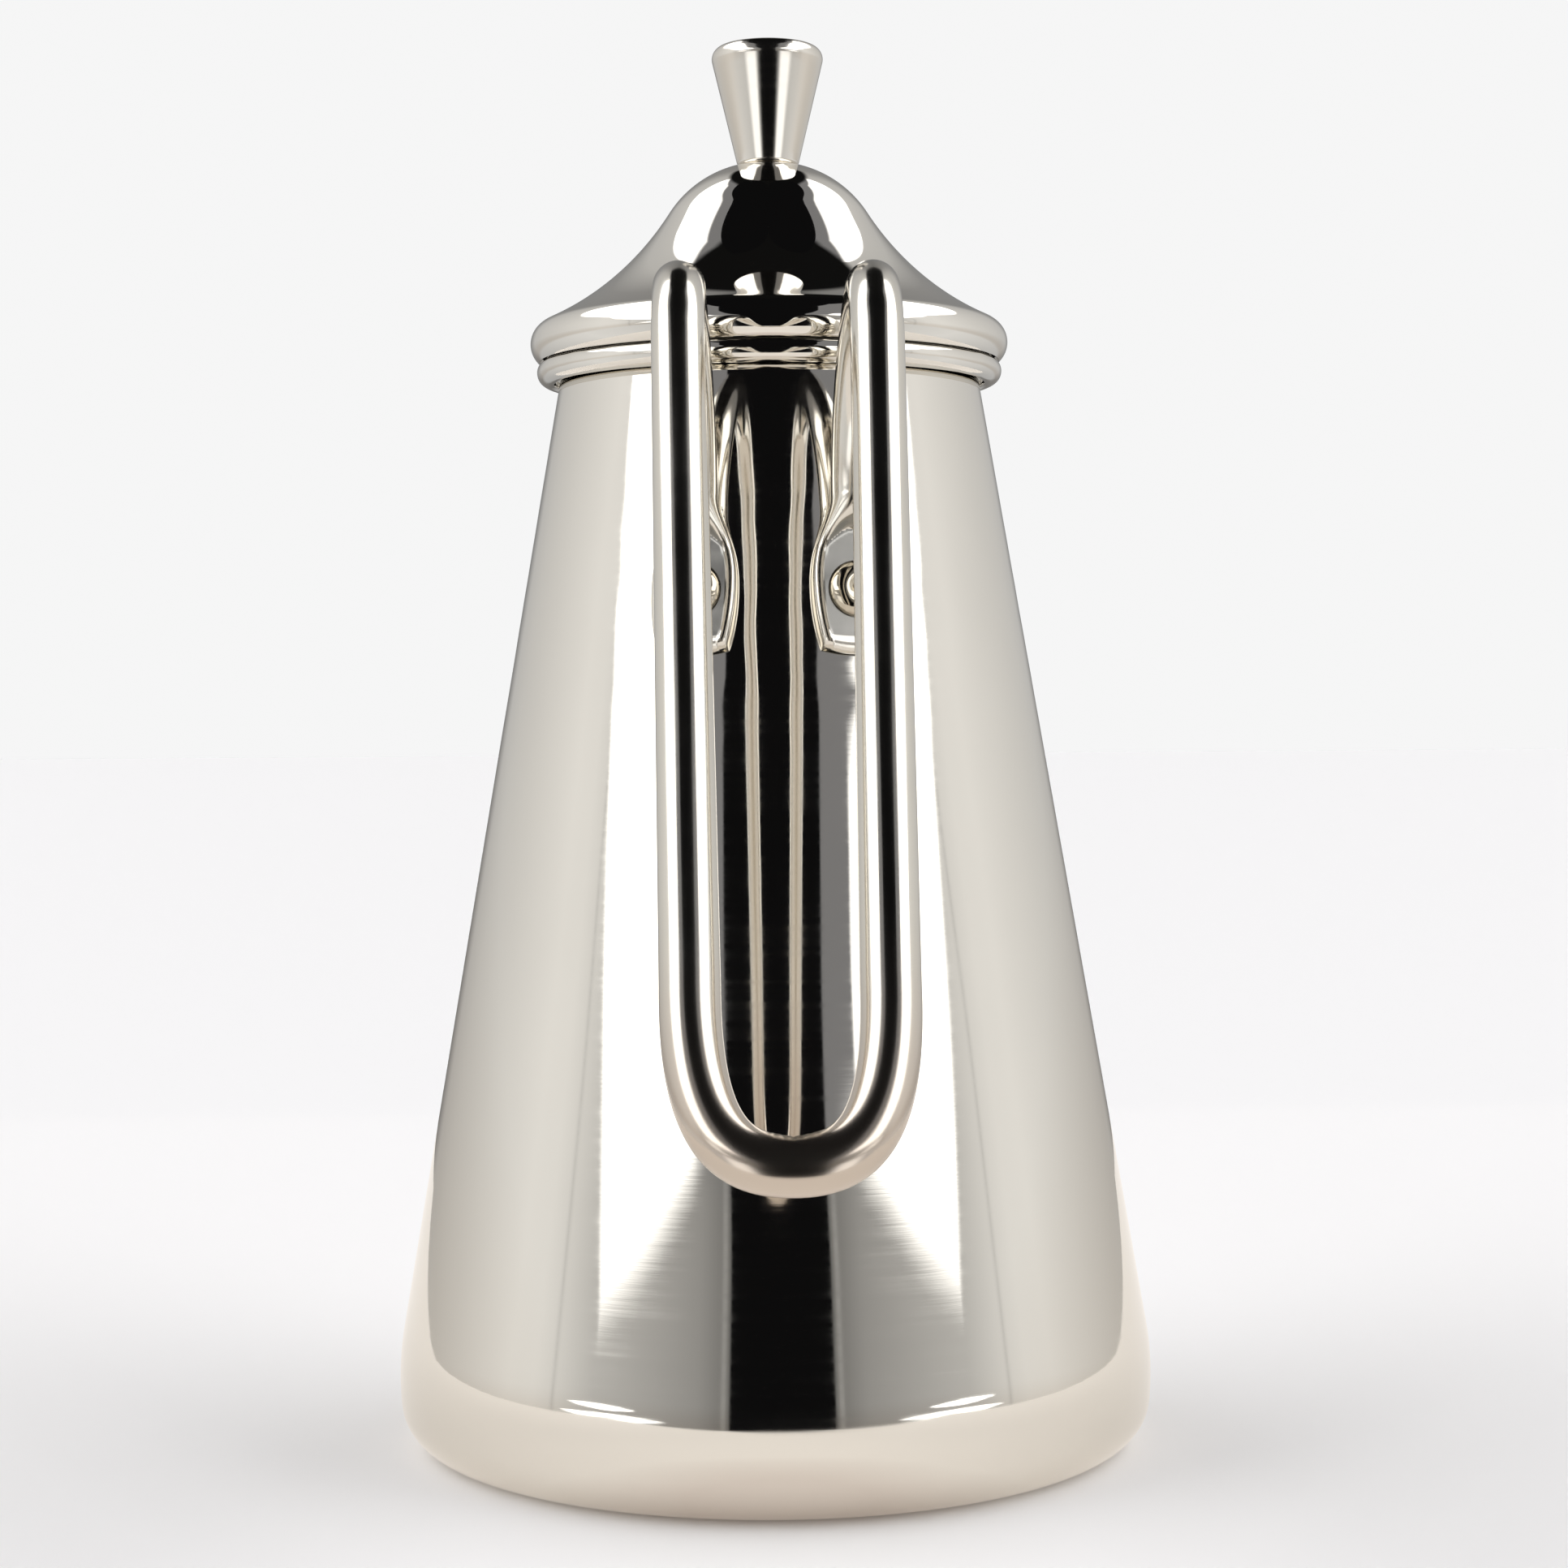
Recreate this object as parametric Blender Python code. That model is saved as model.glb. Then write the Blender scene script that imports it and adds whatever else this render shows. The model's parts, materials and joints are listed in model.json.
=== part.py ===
"""Conical steel coffee pot with a lift-off lid, a riveted tube handle and a beak spout.

Metres, +Z up. The origin is on the pot's axis at its underside, the handle points to -Y
and the spout to +Y. Every touching pair of pieces keeps the clearance GAP.
"""

from math import acos, atan, cos, hypot, pi, radians, sin, sqrt, tan

import bmesh
import bpy
from mathutils import Matrix, Vector

MM = 0.001
GAP = 0.3 * MM

# Body: flat bottom, rounded heel, nearly upright flank, then a straight cone
BODY_R = 57.5 * MM
BODY_WALL = 1.0 * MM
CONE_ANGLE = radians(9.83)
FLANK_R = 43.0 * MM
HEEL_R = 6.8 * MM
HEEL_START = radians(-5.4)
BEAD_Z = 162.65 * MM
BEAD_R = 1.9 * MM
BEAD_OUT_R = 35.45 * MM
MOUTH_R = 30.75 * MM

# Lid: convex crown, concave flare, rolled edge
LID_WALL = 0.9 * MM
LID_SEAT_Z = 194.25 * MM
CROWN_R = 17.0 * MM
CROWN_OFFSET = 0.92 * MM
FLARE_R = 45.5 * MM
ROLL_R = 3.62 * MM
FLARE_TOP = radians(32.8)
FLARE_END = radians(65.1)
ROLL_END = radians(-50.0)

# Collar that locates the lid in the mouth
COLLAR_OUT_R = 30.2 * MM
COLLAR_WALL = 0.8 * MM
COLLAR_FLANGE_R = 34.0 * MM
COLLAR_BOTTOM_Z = 156.5 * MM

# Knob and its screw
KNOB_BASE_R = 4.79 * MM
KNOB_TAPER = radians(13.2)
KNOB_SIDE_H = 15.5 * MM
KNOB_EDGE_R = 1.9 * MM
KNOB_FOOT_R = 0.8 * MM
KNOB_DOME = radians(78.8)
SCREW_R = 1.9 * MM
SCREW_LENGTH = 9.0 * MM
SCREW_HEAD_R = 3.6 * MM
SCREW_HEAD_H = 2.0 * MM
SCREW_HOLE_R = SCREW_R + GAP
WASHER_H = 0.8 * MM

# Handle: one tube, bent to a hairpin, with its ends pressed to tabs
TUBE_R = 3.5 * MM
LEG_LEAN = radians(33.0)
LEG_TOP_X = 12.8 * MM
LEG_LOW_X = 11.25 * MM
BOW_APEX = (-60.0 * MM, 167.6 * MM)
BOW_R = 17.7 * MM
LEG_LENGTH = 116.7 * MM
TAB_TURN = radians(17.0)
TAB_Z = 128.0 * MM
TAB_BELOW = 8.2 * MM
TAB_ABOVE = 10.0 * MM
TAB_THICK = 2.3 * MM
TAB_HALF_W = 6.15 * MM
ROD_START = 13.2 * MM
POCKET_DEPTH = 0.8 * MM
POCKET_RIM = 1.3 * MM

# Rivets
RIVET_R = 2.0 * MM
RIVET_HEAD_R = 4.1 * MM
RIVET_HEAD_H = 1.9 * MM
RIVET_DIMPLE_R = 1.9 * MM
RIVET_DIMPLE_DEPTH = 0.8 * MM
RIVET_TAIL_R = 3.2 * MM
RIVET_TAIL_H = 1.2 * MM
RIVET_WASHER_R = 4.0 * MM
RIVET_WASHER_H = 0.8 * MM
RIVET_HOLE_R = RIVET_R + GAP

# Spout and the strainer holes behind it
SPOUT_LOW_Z = 112.0 * MM
SPOUT_TOP_Z = 158.5 * MM
SPOUT_LIP_RISE = 4.0 * MM
SPOUT_HALF_W = 15.0 * MM
SPOUT_REACH = 29.0 * MM
SPOUT_WALL = 1.0 * MM
SPOUT_FOOT = 2.2 * MM
HOLE_R = 2.0 * MM
HOLE_ROWS = 4
HOLE_PITCH = 6.0 * MM
HOLE_LOW_Z = 128.0 * MM

ROUND = 56
STEEL = (0.78, 0.76, 0.73, 1.0)


# ---------------------------------------------------------------- small helpers

def clear_scene():
    for old in list(bpy.data.objects):
        bpy.data.objects.remove(old, do_unlink=True)


def steel(name, roughness, colour=STEEL):
    material = bpy.data.materials.new(name)
    material.use_nodes = True
    shader = material.node_tree.nodes["Principled BSDF"]
    shader.inputs["Base Color"].default_value = colour
    shader.inputs["Metallic"].default_value = 1.0
    shader.inputs["Roughness"].default_value = roughness
    return material


def add_object(name, bm, material, smooth_angle=radians(35)):
    bmesh.ops.recalc_face_normals(bm, faces=bm.faces)
    mesh = bpy.data.meshes.new(name)
    bm.to_mesh(mesh)
    bm.free()
    mesh.shade_smooth()
    mesh.set_sharp_from_angle(angle=smooth_angle)
    mesh.materials.append(material)
    piece = bpy.data.objects.new(name, mesh)
    bpy.context.collection.objects.link(piece)
    return piece


def arc(centre, radius, start, end, steps):
    """Points from angle start to end, both included, round centre in the (r, z) plane."""
    points = []
    for i in range(steps + 1):
        angle = start + (end - start) * i / steps
        points.append((centre[0] + radius * cos(angle), centre[1] + radius * sin(angle)))
    return points


def turned(profile, closed=True, steps=ROUND):
    """Spin an (r, z) outline about the Z axis. An open outline starts and ends on the axis."""
    bm = bmesh.new()
    verts = [bm.verts.new((r, 0.0, z)) for r, z in profile]
    edges = [bm.edges.new(pair) for pair in zip(verts, verts[1:])]
    if closed:
        edges.append(bm.edges.new((verts[-1], verts[0])))
    bmesh.ops.spin(bm, geom=verts + edges, cent=(0, 0, 0), axis=(0, 0, 1),
                   angle=2 * pi, steps=steps, use_merge=True)
    bmesh.ops.remove_doubles(bm, verts=bm.verts, dist=1e-6)
    return bm


def cutter(name, bm):
    """A closed tool for a Boolean. It is left out of the part."""
    bmesh.ops.recalc_face_normals(bm, faces=bm.faces)
    mesh = bpy.data.meshes.new(name)
    bm.to_mesh(mesh)
    bm.free()
    tool = bpy.data.objects.new(name, mesh)
    tool.hide_render = True
    tool.display_type = "WIRE"
    bpy.context.collection.objects.link(tool)
    return tool


def drill(piece, tool):
    cut = piece.modifiers.new("cut_" + tool.name, "BOOLEAN")
    cut.operation = "DIFFERENCE"
    cut.solver = "EXACT"
    cut.object = tool


def rod(bm, radius, start, end, axes, segments):
    """Add a round bar along the third axis of axes, from start to end."""
    depth = end - start
    place = axes @ Matrix.Translation((0, 0, (start + end) / 2))
    bmesh.ops.create_cone(bm, cap_ends=True, segments=segments, radius1=radius,
                          radius2=radius, depth=depth, matrix=place)


# ---------------------------------------------------------------- body

def flank_centre():
    return (BODY_R - FLANK_R, HEEL_R - (FLANK_R - HEEL_R) * sin(HEEL_START))


def cone_radius(z):
    """Radius of the outer wall on the straight cone."""
    r, z0 = flank_centre()
    foot_r = r + FLANK_R * cos(CONE_ANGLE)
    foot_z = z0 + FLANK_R * sin(CONE_ANGLE)
    return foot_r - (z - foot_z) * tan(CONE_ANGLE)


def body_side(inset, top_z):
    """Bottom, heel, flank and cone as one run of points, moved inwards by inset."""
    flank = flank_centre()
    heel = (flank[0] + (FLANK_R - HEEL_R) * cos(HEEL_START), HEEL_R)
    points = [(0.0, inset)]
    points += arc(heel, HEEL_R - inset, radians(-90), HEEL_START, 6)
    points += arc(flank, FLANK_R - inset, HEEL_START, CONE_ANGLE, 3)[1:]
    foot_z = points[-1][1]
    for i in (1, 2):
        z = foot_z + (top_z - foot_z) * i / 2
        points.append((cone_radius(z) - inset / cos(CONE_ANGLE), z))
    return points


def body_shell(material):
    outer_bead = (BEAD_OUT_R - BEAD_R, BEAD_Z)
    inner_bead = (MOUTH_R + BEAD_R, BEAD_Z)
    lip_z = BEAD_Z - BEAD_R
    neck_z = lip_z + 0.6 * MM
    profile = body_side(0.0, neck_z)
    profile += [(outer_bead[0] - 1.1 * MM, neck_z), (outer_bead[0] - 0.8 * MM, lip_z)]
    profile += arc(outer_bead, BEAD_R, radians(-90), radians(90), 7)
    profile += arc(inner_bead, BEAD_R, radians(90), radians(180), 3)
    profile += list(reversed(body_side(BODY_WALL, lip_z - 1.0 * MM)))
    shell = add_object("body_shell", turned(profile, closed=False), material)

    holes = bmesh.new()
    for side in (-1, 1):
        rod(holes, RIVET_HOLE_R, -6 * MM, 8 * MM, tab_axes(side), 12)
    for row in range(HOLE_ROWS):
        z = HOLE_LOW_Z + row * HOLE_PITCH
        for i in range(row + 1):
            x = (i - row / 2) * HOLE_PITCH
            through = Matrix.Translation((x, cone_radius(z), z)) @ Matrix.Rotation(pi / 2, 4, "X")
            rod(holes, HOLE_R, -6 * MM, 6 * MM, through, 10)
    drill(shell, cutter("body_holes", holes))
    return shell


# ---------------------------------------------------------------- spout

def wall_y(x, z, offset):
    """Y of the body's outer wall on the spout side, moved out by offset."""
    return sqrt((cone_radius(z) + offset) ** 2 - x * x)


def spout_ring(share, inset, columns):
    """One level of the beak: share is 0 at its foot and 1 at its mouth."""
    half = SPOUT_FOOT + (SPOUT_HALF_W - SPOUT_FOOT) * share ** 0.8 - inset
    reach = SPOUT_FOOT + (SPOUT_REACH - SPOUT_FOOT) * share ** 1.35 - inset * 1.2
    points = []
    for i in range(columns + 1):
        t = -1 + 2 * i / columns
        s = t * abs(t) ** 0.4
        out = reach * (1 - abs(s) ** 1.7)
        z = SPOUT_LOW_Z + (SPOUT_TOP_Z - SPOUT_LOW_Z) * share
        z += SPOUT_LIP_RISE * share ** 3 * (1 - abs(s) ** 1.7)
        x = half * s
        base_z = min(z, SPOUT_TOP_Z)
        points.append(Vector((x, wall_y(x, base_z, GAP) + out, z)))
    return points


def spout(material):
    rows, columns = 9, 14
    bm = bmesh.new()
    skins = []
    for inset in (0.0, SPOUT_WALL):
        grid = []
        for row in range(rows + 1):
            ring = spout_ring(row / rows, inset, columns)
            grid.append([bm.verts.new(point) for point in ring])
        skins.append(grid)
        for low, high in zip(grid, grid[1:]):
            for i in range(columns):
                bm.faces.new((low[i], low[i + 1], high[i + 1], high[i]))
    outer, inner = skins
    for edge in ([row[0] for row in outer], [row[0] for row in inner]), \
                ([row[-1] for row in outer], [row[-1] for row in inner]), \
                (outer[0], inner[0]), (outer[-1], inner[-1]):
        for i in range(len(edge[0]) - 1):
            bm.faces.new((edge[0][i], edge[0][i + 1], edge[1][i + 1], edge[1][i]))
    return add_object("spout", bm, material)


# ---------------------------------------------------------------- lid, collar, knob

def lid_skin(inset):
    """Crown, flare and rolled edge, from the crown's seat to the edge's end."""
    seat_angle = acos((KNOB_BASE_R - CROWN_OFFSET) / CROWN_R)
    crown = (CROWN_OFFSET, LID_SEAT_Z - CROWN_R * sin(seat_angle))
    joint = CROWN_R + FLARE_R
    flare = (crown[0] + joint * cos(FLARE_TOP), crown[1] + joint * sin(FLARE_TOP))
    joint = FLARE_R + ROLL_R
    roll = (flare[0] - joint * cos(FLARE_END), flare[1] - joint * sin(FLARE_END))
    points = arc(crown, CROWN_R - inset, seat_angle, FLARE_TOP, 5)
    points += arc(flare, FLARE_R + inset, pi + FLARE_TOP, pi + FLARE_END, 5)[1:]
    points += arc(roll, ROLL_R - inset, FLARE_END, ROLL_END, 7)[1:]
    return points


def lid_shell(material):
    outer = [(SCREW_HOLE_R, LID_SEAT_Z)] + lid_skin(0.0)
    inner = [(SCREW_HOLE_R, LID_SEAT_Z - LID_WALL)] + lid_skin(LID_WALL)
    return add_object("lid_shell", turned(outer + inner[::-1]), material)


def lid_collar(material):
    flange_z = BEAD_Z + BEAD_R + GAP
    skirt_r = COLLAR_OUT_R - COLLAR_WALL
    profile = [
        (COLLAR_FLANGE_R, flange_z),
        (COLLAR_FLANGE_R, flange_z + COLLAR_WALL),
        (skirt_r, flange_z + COLLAR_WALL),
        (skirt_r, COLLAR_BOTTOM_Z),
        (COLLAR_OUT_R, COLLAR_BOTTOM_Z),
        (COLLAR_OUT_R, flange_z),
    ]
    return add_object("lid_collar", turned(profile), material)


def knob_base_z():
    return LID_SEAT_Z + GAP


def knob(material):
    base = knob_base_z()
    wall = Vector((sin(KNOB_TAPER), cos(KNOB_TAPER)))
    outward = Vector((cos(KNOB_TAPER), -sin(KNOB_TAPER)))
    foot_r = KNOB_BASE_R - KNOB_FOOT_R
    top = Vector((KNOB_BASE_R, base)) + wall * KNOB_SIDE_H / cos(KNOB_TAPER)
    edge = top - outward * KNOB_EDGE_R
    shoulder = arc(edge, KNOB_EDGE_R, -KNOB_TAPER, KNOB_DOME, 7)
    dome_r = shoulder[-1][0] / cos(KNOB_DOME)
    dome = (0.0, shoulder[-1][1] - dome_r * sin(KNOB_DOME))
    hole_top = base + SCREW_LENGTH
    profile = [(0.0, hole_top), (SCREW_HOLE_R, hole_top), (SCREW_HOLE_R, base)]
    profile += arc((foot_r, base + KNOB_FOOT_R), KNOB_FOOT_R, radians(-90), -KNOB_TAPER, 4)
    profile += shoulder
    profile += arc(dome, dome_r, KNOB_DOME, radians(90), 3)[1:]
    return add_object("knob", turned(profile, closed=False, steps=36), material)


def knob_fixing(screw_material, washer_material):
    washer_top = LID_SEAT_Z - LID_WALL - GAP
    washer_low = washer_top - WASHER_H
    ring = [(SCREW_HOLE_R, washer_low), (4.4 * MM, washer_low),
            (4.4 * MM, washer_top), (SCREW_HOLE_R, washer_top)]
    add_object("knob_washer", turned(ring, steps=24), washer_material)

    head_top = washer_low - GAP
    head_low = head_top - SCREW_HEAD_H
    end = knob_base_z() + SCREW_LENGTH - GAP
    screw = [
        (0.0, head_low),
        (SCREW_HEAD_R * 0.72, head_low),
        (SCREW_HEAD_R, head_low + SCREW_HEAD_H * 0.45),
        (SCREW_HEAD_R, head_top),
        (SCREW_R, head_top),
        (SCREW_R, end - 0.5 * MM),
        (SCREW_R - 0.5 * MM, end),
        (0.0, end),
    ]
    piece = add_object("knob_screw", turned(screw, closed=False, steps=24), screw_material)
    slot = bmesh.new()
    bmesh.ops.create_cube(slot, size=1.0, matrix=Matrix.Translation((0, 0, head_low))
                          @ Matrix.Diagonal((9 * MM, 0.9 * MM, 1.8 * MM, 1)))
    drill(piece, cutter("screw_slot", slot))


# ---------------------------------------------------------------- handle

def tab_axes(side):
    """Frame on the outer wall under a tab: X across, Y up the wall, Z straight out of it.

    side is 1 for the tab at +X and -1 for the one at -X.
    """
    turn = side * TAB_TURN
    out = Vector((sin(turn) * cos(CONE_ANGLE), -cos(turn) * cos(CONE_ANGLE), sin(CONE_ANGLE)))
    across = Vector((cos(turn), sin(turn), 0.0))
    up = out.cross(across)
    r = cone_radius(TAB_Z)
    axes = Matrix((across, up, out)).transposed().to_4x4()
    axes.translation = Vector((r * sin(turn), -r * cos(turn), TAB_Z))
    return axes


def tab_half_width(height):
    """Half width of the pressed tab at a height above its rivet."""
    if height < 0:
        return TAB_HALF_W - 1.1 * MM * (height / TAB_BELOW) ** 2
    fade = min(1.0, height / ROD_START)
    return TUBE_R + (TAB_HALF_W - TUBE_R) * (0.5 + 0.5 * cos(pi * fade ** 1.3))


def tab_half_depth(height):
    """Half thickness: pressed flat on the tab, swelling to the round tube above it."""
    fade = max(0.0, min(1.0, (height - 5.5 * MM) / (ROD_START - 5.5 * MM)))
    fade = fade * fade * (3 - 2 * fade)
    return TAB_THICK / 2 + (TUBE_R - TAB_THICK / 2) * fade


def handle_stations():
    """Half of the tube's centreline, from the +X tab to the middle of the U.

    Each station is (centre, half width, half depth, roundness, across axis or None).
    """
    axes = tab_axes(1)
    across = axes.col[0].to_3d()
    stations = []
    heights = [-TAB_BELOW + (ROD_START + TAB_BELOW) * i / 11 for i in range(12)]
    for height in heights:
        depth = tab_half_depth(height)
        centre = axes @ Vector((0, height, GAP + depth))
        flat = (TUBE_R - depth) / (TUBE_R - TAB_THICK / 2)
        stations.append((centre, tab_half_width(height), depth, flat, across))

    start = stations[-1][0]
    apex_y, apex_z = BOW_APEX
    for i in range(1, 9):
        turn = radians(90) * i / 8
        x = start.x + (LEG_TOP_X - start.x) * i / 8
        y = apex_y + (start.y - apex_y) * cos(turn)
        z = start.z + (apex_z - start.z) * sin(turn)
        side = across.lerp(Vector((1, 0, 0)), i / 8)
        stations.append((Vector((x, y, z)), TUBE_R, TUBE_R, 0.0, side))
    for i in range(1, 6):
        turn = radians(90) - (radians(90) - LEG_LEAN) * i / 5
        y = apex_y - BOW_R * cos(turn)
        z = apex_z - BOW_R + BOW_R * sin(turn)
        stations.append((Vector((LEG_TOP_X, y, z)), TUBE_R, TUBE_R, 0.0, Vector((1, 0, 0))))

    top = stations[-1][0]
    straight = LEG_LENGTH - 22.7 * MM
    for i in range(1, 4):
        x = LEG_TOP_X + (LEG_LOW_X - LEG_TOP_X) * i / 3
        stations.append((leg_point(top, x, straight * i / 3), TUBE_R, TUBE_R, 0.0, None))
    bend = [(LEG_LOW_X, straight), (LEG_LOW_X, LEG_LENGTH - 4.2 * MM),
            (7.6 * MM, LEG_LENGTH), (0.0, LEG_LENGTH)]
    for i in range(1, 9):
        share = i / 8
        x, down = bezier(bend, share)
        squeeze = 0.35 * MM * share
        stations.append((leg_point(top, x, down), TUBE_R - squeeze, TUBE_R + squeeze / 2,
                         0.0, None))
    return stations


def leg_point(top, x, down):
    """A point on the plane of the legs, down its slope from the top."""
    return Vector((x, top.y - down * sin(LEG_LEAN), top.z - down * cos(LEG_LEAN)))


def bezier(points, share):
    (x0, y0), (x1, y1), (x2, y2), (x3, y3) = points
    rest = 1 - share
    weights = (rest ** 3, 3 * rest ** 2 * share, 3 * rest * share ** 2, share ** 3)
    x = weights[0] * x0 + weights[1] * x1 + weights[2] * x2 + weights[3] * x3
    y = weights[0] * y0 + weights[1] * y1 + weights[2] * y2 + weights[3] * y3
    return x, y


def handle(material):
    stations = handle_stations()
    leg_normal = Vector((0, cos(LEG_LEAN), -sin(LEG_LEAN)))
    centres = [station[0] for station in stations]
    bm = bmesh.new()
    rings = []
    sides = 14
    for i, (centre, half_w, half_d, flat, side) in enumerate(stations):
        before = centres[max(i - 1, 0)]
        after = centres[min(i + 1, len(centres) - 1)]
        tangent = (after - before).normalized()
        if i == len(stations) - 1:
            tangent = Vector((-1, 0, 0))
        if side is None:
            width_axis = tangent.cross(leg_normal).normalized()
            depth_axis = leg_normal
        else:
            width_axis = (side - tangent * side.dot(tangent)).normalized()
            depth_axis = width_axis.cross(tangent).normalized()
        ring = []
        power = 1.0 - 0.45 * flat
        for k in range(sides):
            angle = 2 * pi * k / sides
            across = abs(cos(angle)) ** power * (1 if cos(angle) >= 0 else -1)
            out = abs(sin(angle)) ** power * (1 if sin(angle) >= 0 else -1)
            point = centre + width_axis * half_w * across + depth_axis * half_d * out
            if i == len(stations) - 1:
                point.x = 0.0
            ring.append(bm.verts.new(point))
        rings.append(ring)
    for low, high in zip(rings, rings[1:]):
        for k in range(sides):
            n = (k + 1) % sides
            bm.faces.new((low[k], low[n], high[n], high[k]))
    bm.faces.new(rings[0])
    piece = add_object("handle", bm, material)
    mirror = piece.modifiers.new("other_leg", "MIRROR")
    mirror.use_axis = (True, False, False)
    mirror.merge_threshold = 0.00005

    for side in (-1, 1):
        drill(piece, cutter(f"tab_pocket_{side}", pocket(side)))
        hole = bmesh.new()
        rod(hole, RIVET_HOLE_R, -5 * MM, 8 * MM, tab_axes(side), 12)
        drill(piece, cutter(f"tab_hole_{side}", hole))
    return piece


def pocket(side):
    """The sunk floor of a tab: arched at the top, and running out at the bottom edge."""
    floor = GAP + TAB_THICK - POCKET_DEPTH
    low = -TAB_BELOW - POCKET_RIM
    spring = TAB_ABOVE - 4.0 * MM
    outline = []
    for i in range(6):
        height = low + (spring - low) * i / 5
        outline.append((tab_half_width(height) - POCKET_RIM, height))
    arch_w = outline[-1][0]
    for i in range(1, 8):
        angle = pi * i / 8
        outline.append((arch_w * cos(angle), spring + 3.0 * MM * sin(angle)))
    outline += [(-x, height) for x, height in reversed(outline[:6])]
    bm = bmesh.new()
    axes = tab_axes(side)
    base = [bm.verts.new(axes @ Vector((x, y, floor))) for x, y in outline]
    face = bm.faces.new(base)
    raised = bmesh.ops.extrude_face_region(bm, geom=[face])["geom"]
    lift = axes.col[2].to_3d() * 6 * MM
    bmesh.ops.translate(bm, verts=[v for v in raised if isinstance(v, bmesh.types.BMVert)], vec=lift)
    return bm


def rivet(side, name, material):
    """Dimpled head on the tab's floor, shank through tab and wall, upset tail inside."""
    seat = GAP + TAB_THICK - POCKET_DEPTH + GAP
    tail = -BODY_WALL - 2 * GAP - 0.3 * MM - RIVET_WASHER_H
    head = seat + RIVET_HEAD_H
    profile = [(0.0, tail - RIVET_TAIL_H), (RIVET_TAIL_R * 0.7, tail - RIVET_TAIL_H),
               (RIVET_TAIL_R, tail - RIVET_TAIL_H * 0.5), (RIVET_TAIL_R, tail),
               (RIVET_R, tail), (RIVET_R, seat), (RIVET_HEAD_R, seat)]
    for i in range(1, 5):
        angle = radians(90) * i / 5
        r = RIVET_DIMPLE_R + (RIVET_HEAD_R - RIVET_DIMPLE_R) * cos(angle)
        profile.append((r, seat + RIVET_HEAD_H * sin(angle)))
    profile += [(RIVET_DIMPLE_R, head), (RIVET_DIMPLE_R * 0.6, head - RIVET_DIMPLE_DEPTH * 0.8),
                (0.0, head - RIVET_DIMPLE_DEPTH)]
    piece = add_object(name, turned(profile, closed=False, steps=20), material)
    piece.matrix_world = tab_axes(side)
    return piece


def rivet_washer(side, name, material):
    top = -BODY_WALL - GAP - 0.3 * MM
    low = top - RIVET_WASHER_H + GAP / 2
    ring = [(RIVET_HOLE_R, low), (RIVET_WASHER_R, low), (RIVET_WASHER_R, top), (RIVET_HOLE_R, top)]
    piece = add_object(name, turned(ring, steps=20), material)
    piece.matrix_world = tab_axes(side)
    return piece


# ---------------------------------------------------------------- assembly

def build():
    clear_scene()
    mirror_polish = steel("mirror_polished_steel", 0.08)
    satin = steel("satin_steel", 0.3)
    rivet_steel = steel("rivet_steel", 0.2, (0.76, 0.72, 0.64, 1.0))

    body_shell(mirror_polish)
    spout(mirror_polish)
    lid_shell(mirror_polish)
    lid_collar(satin)
    knob(mirror_polish)
    knob_fixing(satin, satin)
    handle(mirror_polish)
    for side, word in ((-1, "left"), (1, "right")):
        rivet(side, "rivet_" + word, rivet_steel)
        rivet_washer(side, "rivet_washer_" + word, satin)


build()
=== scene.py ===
"""Looks of a polished stainless-steel coffee pot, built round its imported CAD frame.

Metres, +Z up; the handle points to -Y and the spout to +Y. Sizes repeat the part's own.
"""

import json
from math import acos, cos, exp, hypot, pi, radians, sin, sqrt, tan

import bmesh
import bpy
from mathutils import Matrix, Vector, noise

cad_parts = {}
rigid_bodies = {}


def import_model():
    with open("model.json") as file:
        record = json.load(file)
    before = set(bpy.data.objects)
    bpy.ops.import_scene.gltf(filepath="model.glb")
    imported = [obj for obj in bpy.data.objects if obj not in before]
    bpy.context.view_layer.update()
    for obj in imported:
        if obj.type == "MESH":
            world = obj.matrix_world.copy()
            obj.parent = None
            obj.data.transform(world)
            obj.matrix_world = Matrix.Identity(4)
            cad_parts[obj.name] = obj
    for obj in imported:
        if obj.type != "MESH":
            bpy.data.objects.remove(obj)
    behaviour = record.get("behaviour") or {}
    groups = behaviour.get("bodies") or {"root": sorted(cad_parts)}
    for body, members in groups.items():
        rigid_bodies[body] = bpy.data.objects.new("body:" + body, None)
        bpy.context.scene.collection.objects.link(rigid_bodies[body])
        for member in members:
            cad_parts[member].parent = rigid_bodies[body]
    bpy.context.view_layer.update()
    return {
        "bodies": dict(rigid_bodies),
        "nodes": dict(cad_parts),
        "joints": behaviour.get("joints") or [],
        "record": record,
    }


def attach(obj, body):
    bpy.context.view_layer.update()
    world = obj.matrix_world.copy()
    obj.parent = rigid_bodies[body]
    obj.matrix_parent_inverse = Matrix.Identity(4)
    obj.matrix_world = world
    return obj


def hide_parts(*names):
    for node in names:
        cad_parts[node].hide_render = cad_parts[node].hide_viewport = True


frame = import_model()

MM = 0.001
GAP = 0.3 * MM

# Body
BODY_R = 57.5 * MM
BODY_WALL = 1.0 * MM
CONE_ANGLE = radians(9.83)
FLANK_R = 43.0 * MM
HEEL_R = 6.8 * MM
HEEL_START = radians(-5.4)
BEAD_Z = 162.65 * MM
BEAD_R = 1.9 * MM
BEAD_OUT_R = 35.45 * MM
MOUTH_R = 30.75 * MM
FOOT_RECESS = 0.45 * MM
FOOT_RECESS_R = 41.0 * MM
NECK_Z = 162.1 * MM
RIM_RIPPLE_SIZE = 3.4 * MM
RIM_RIPPLE_OUT = 0.05 * MM
RIM_RIPPLE_UP = 0.035 * MM

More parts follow.
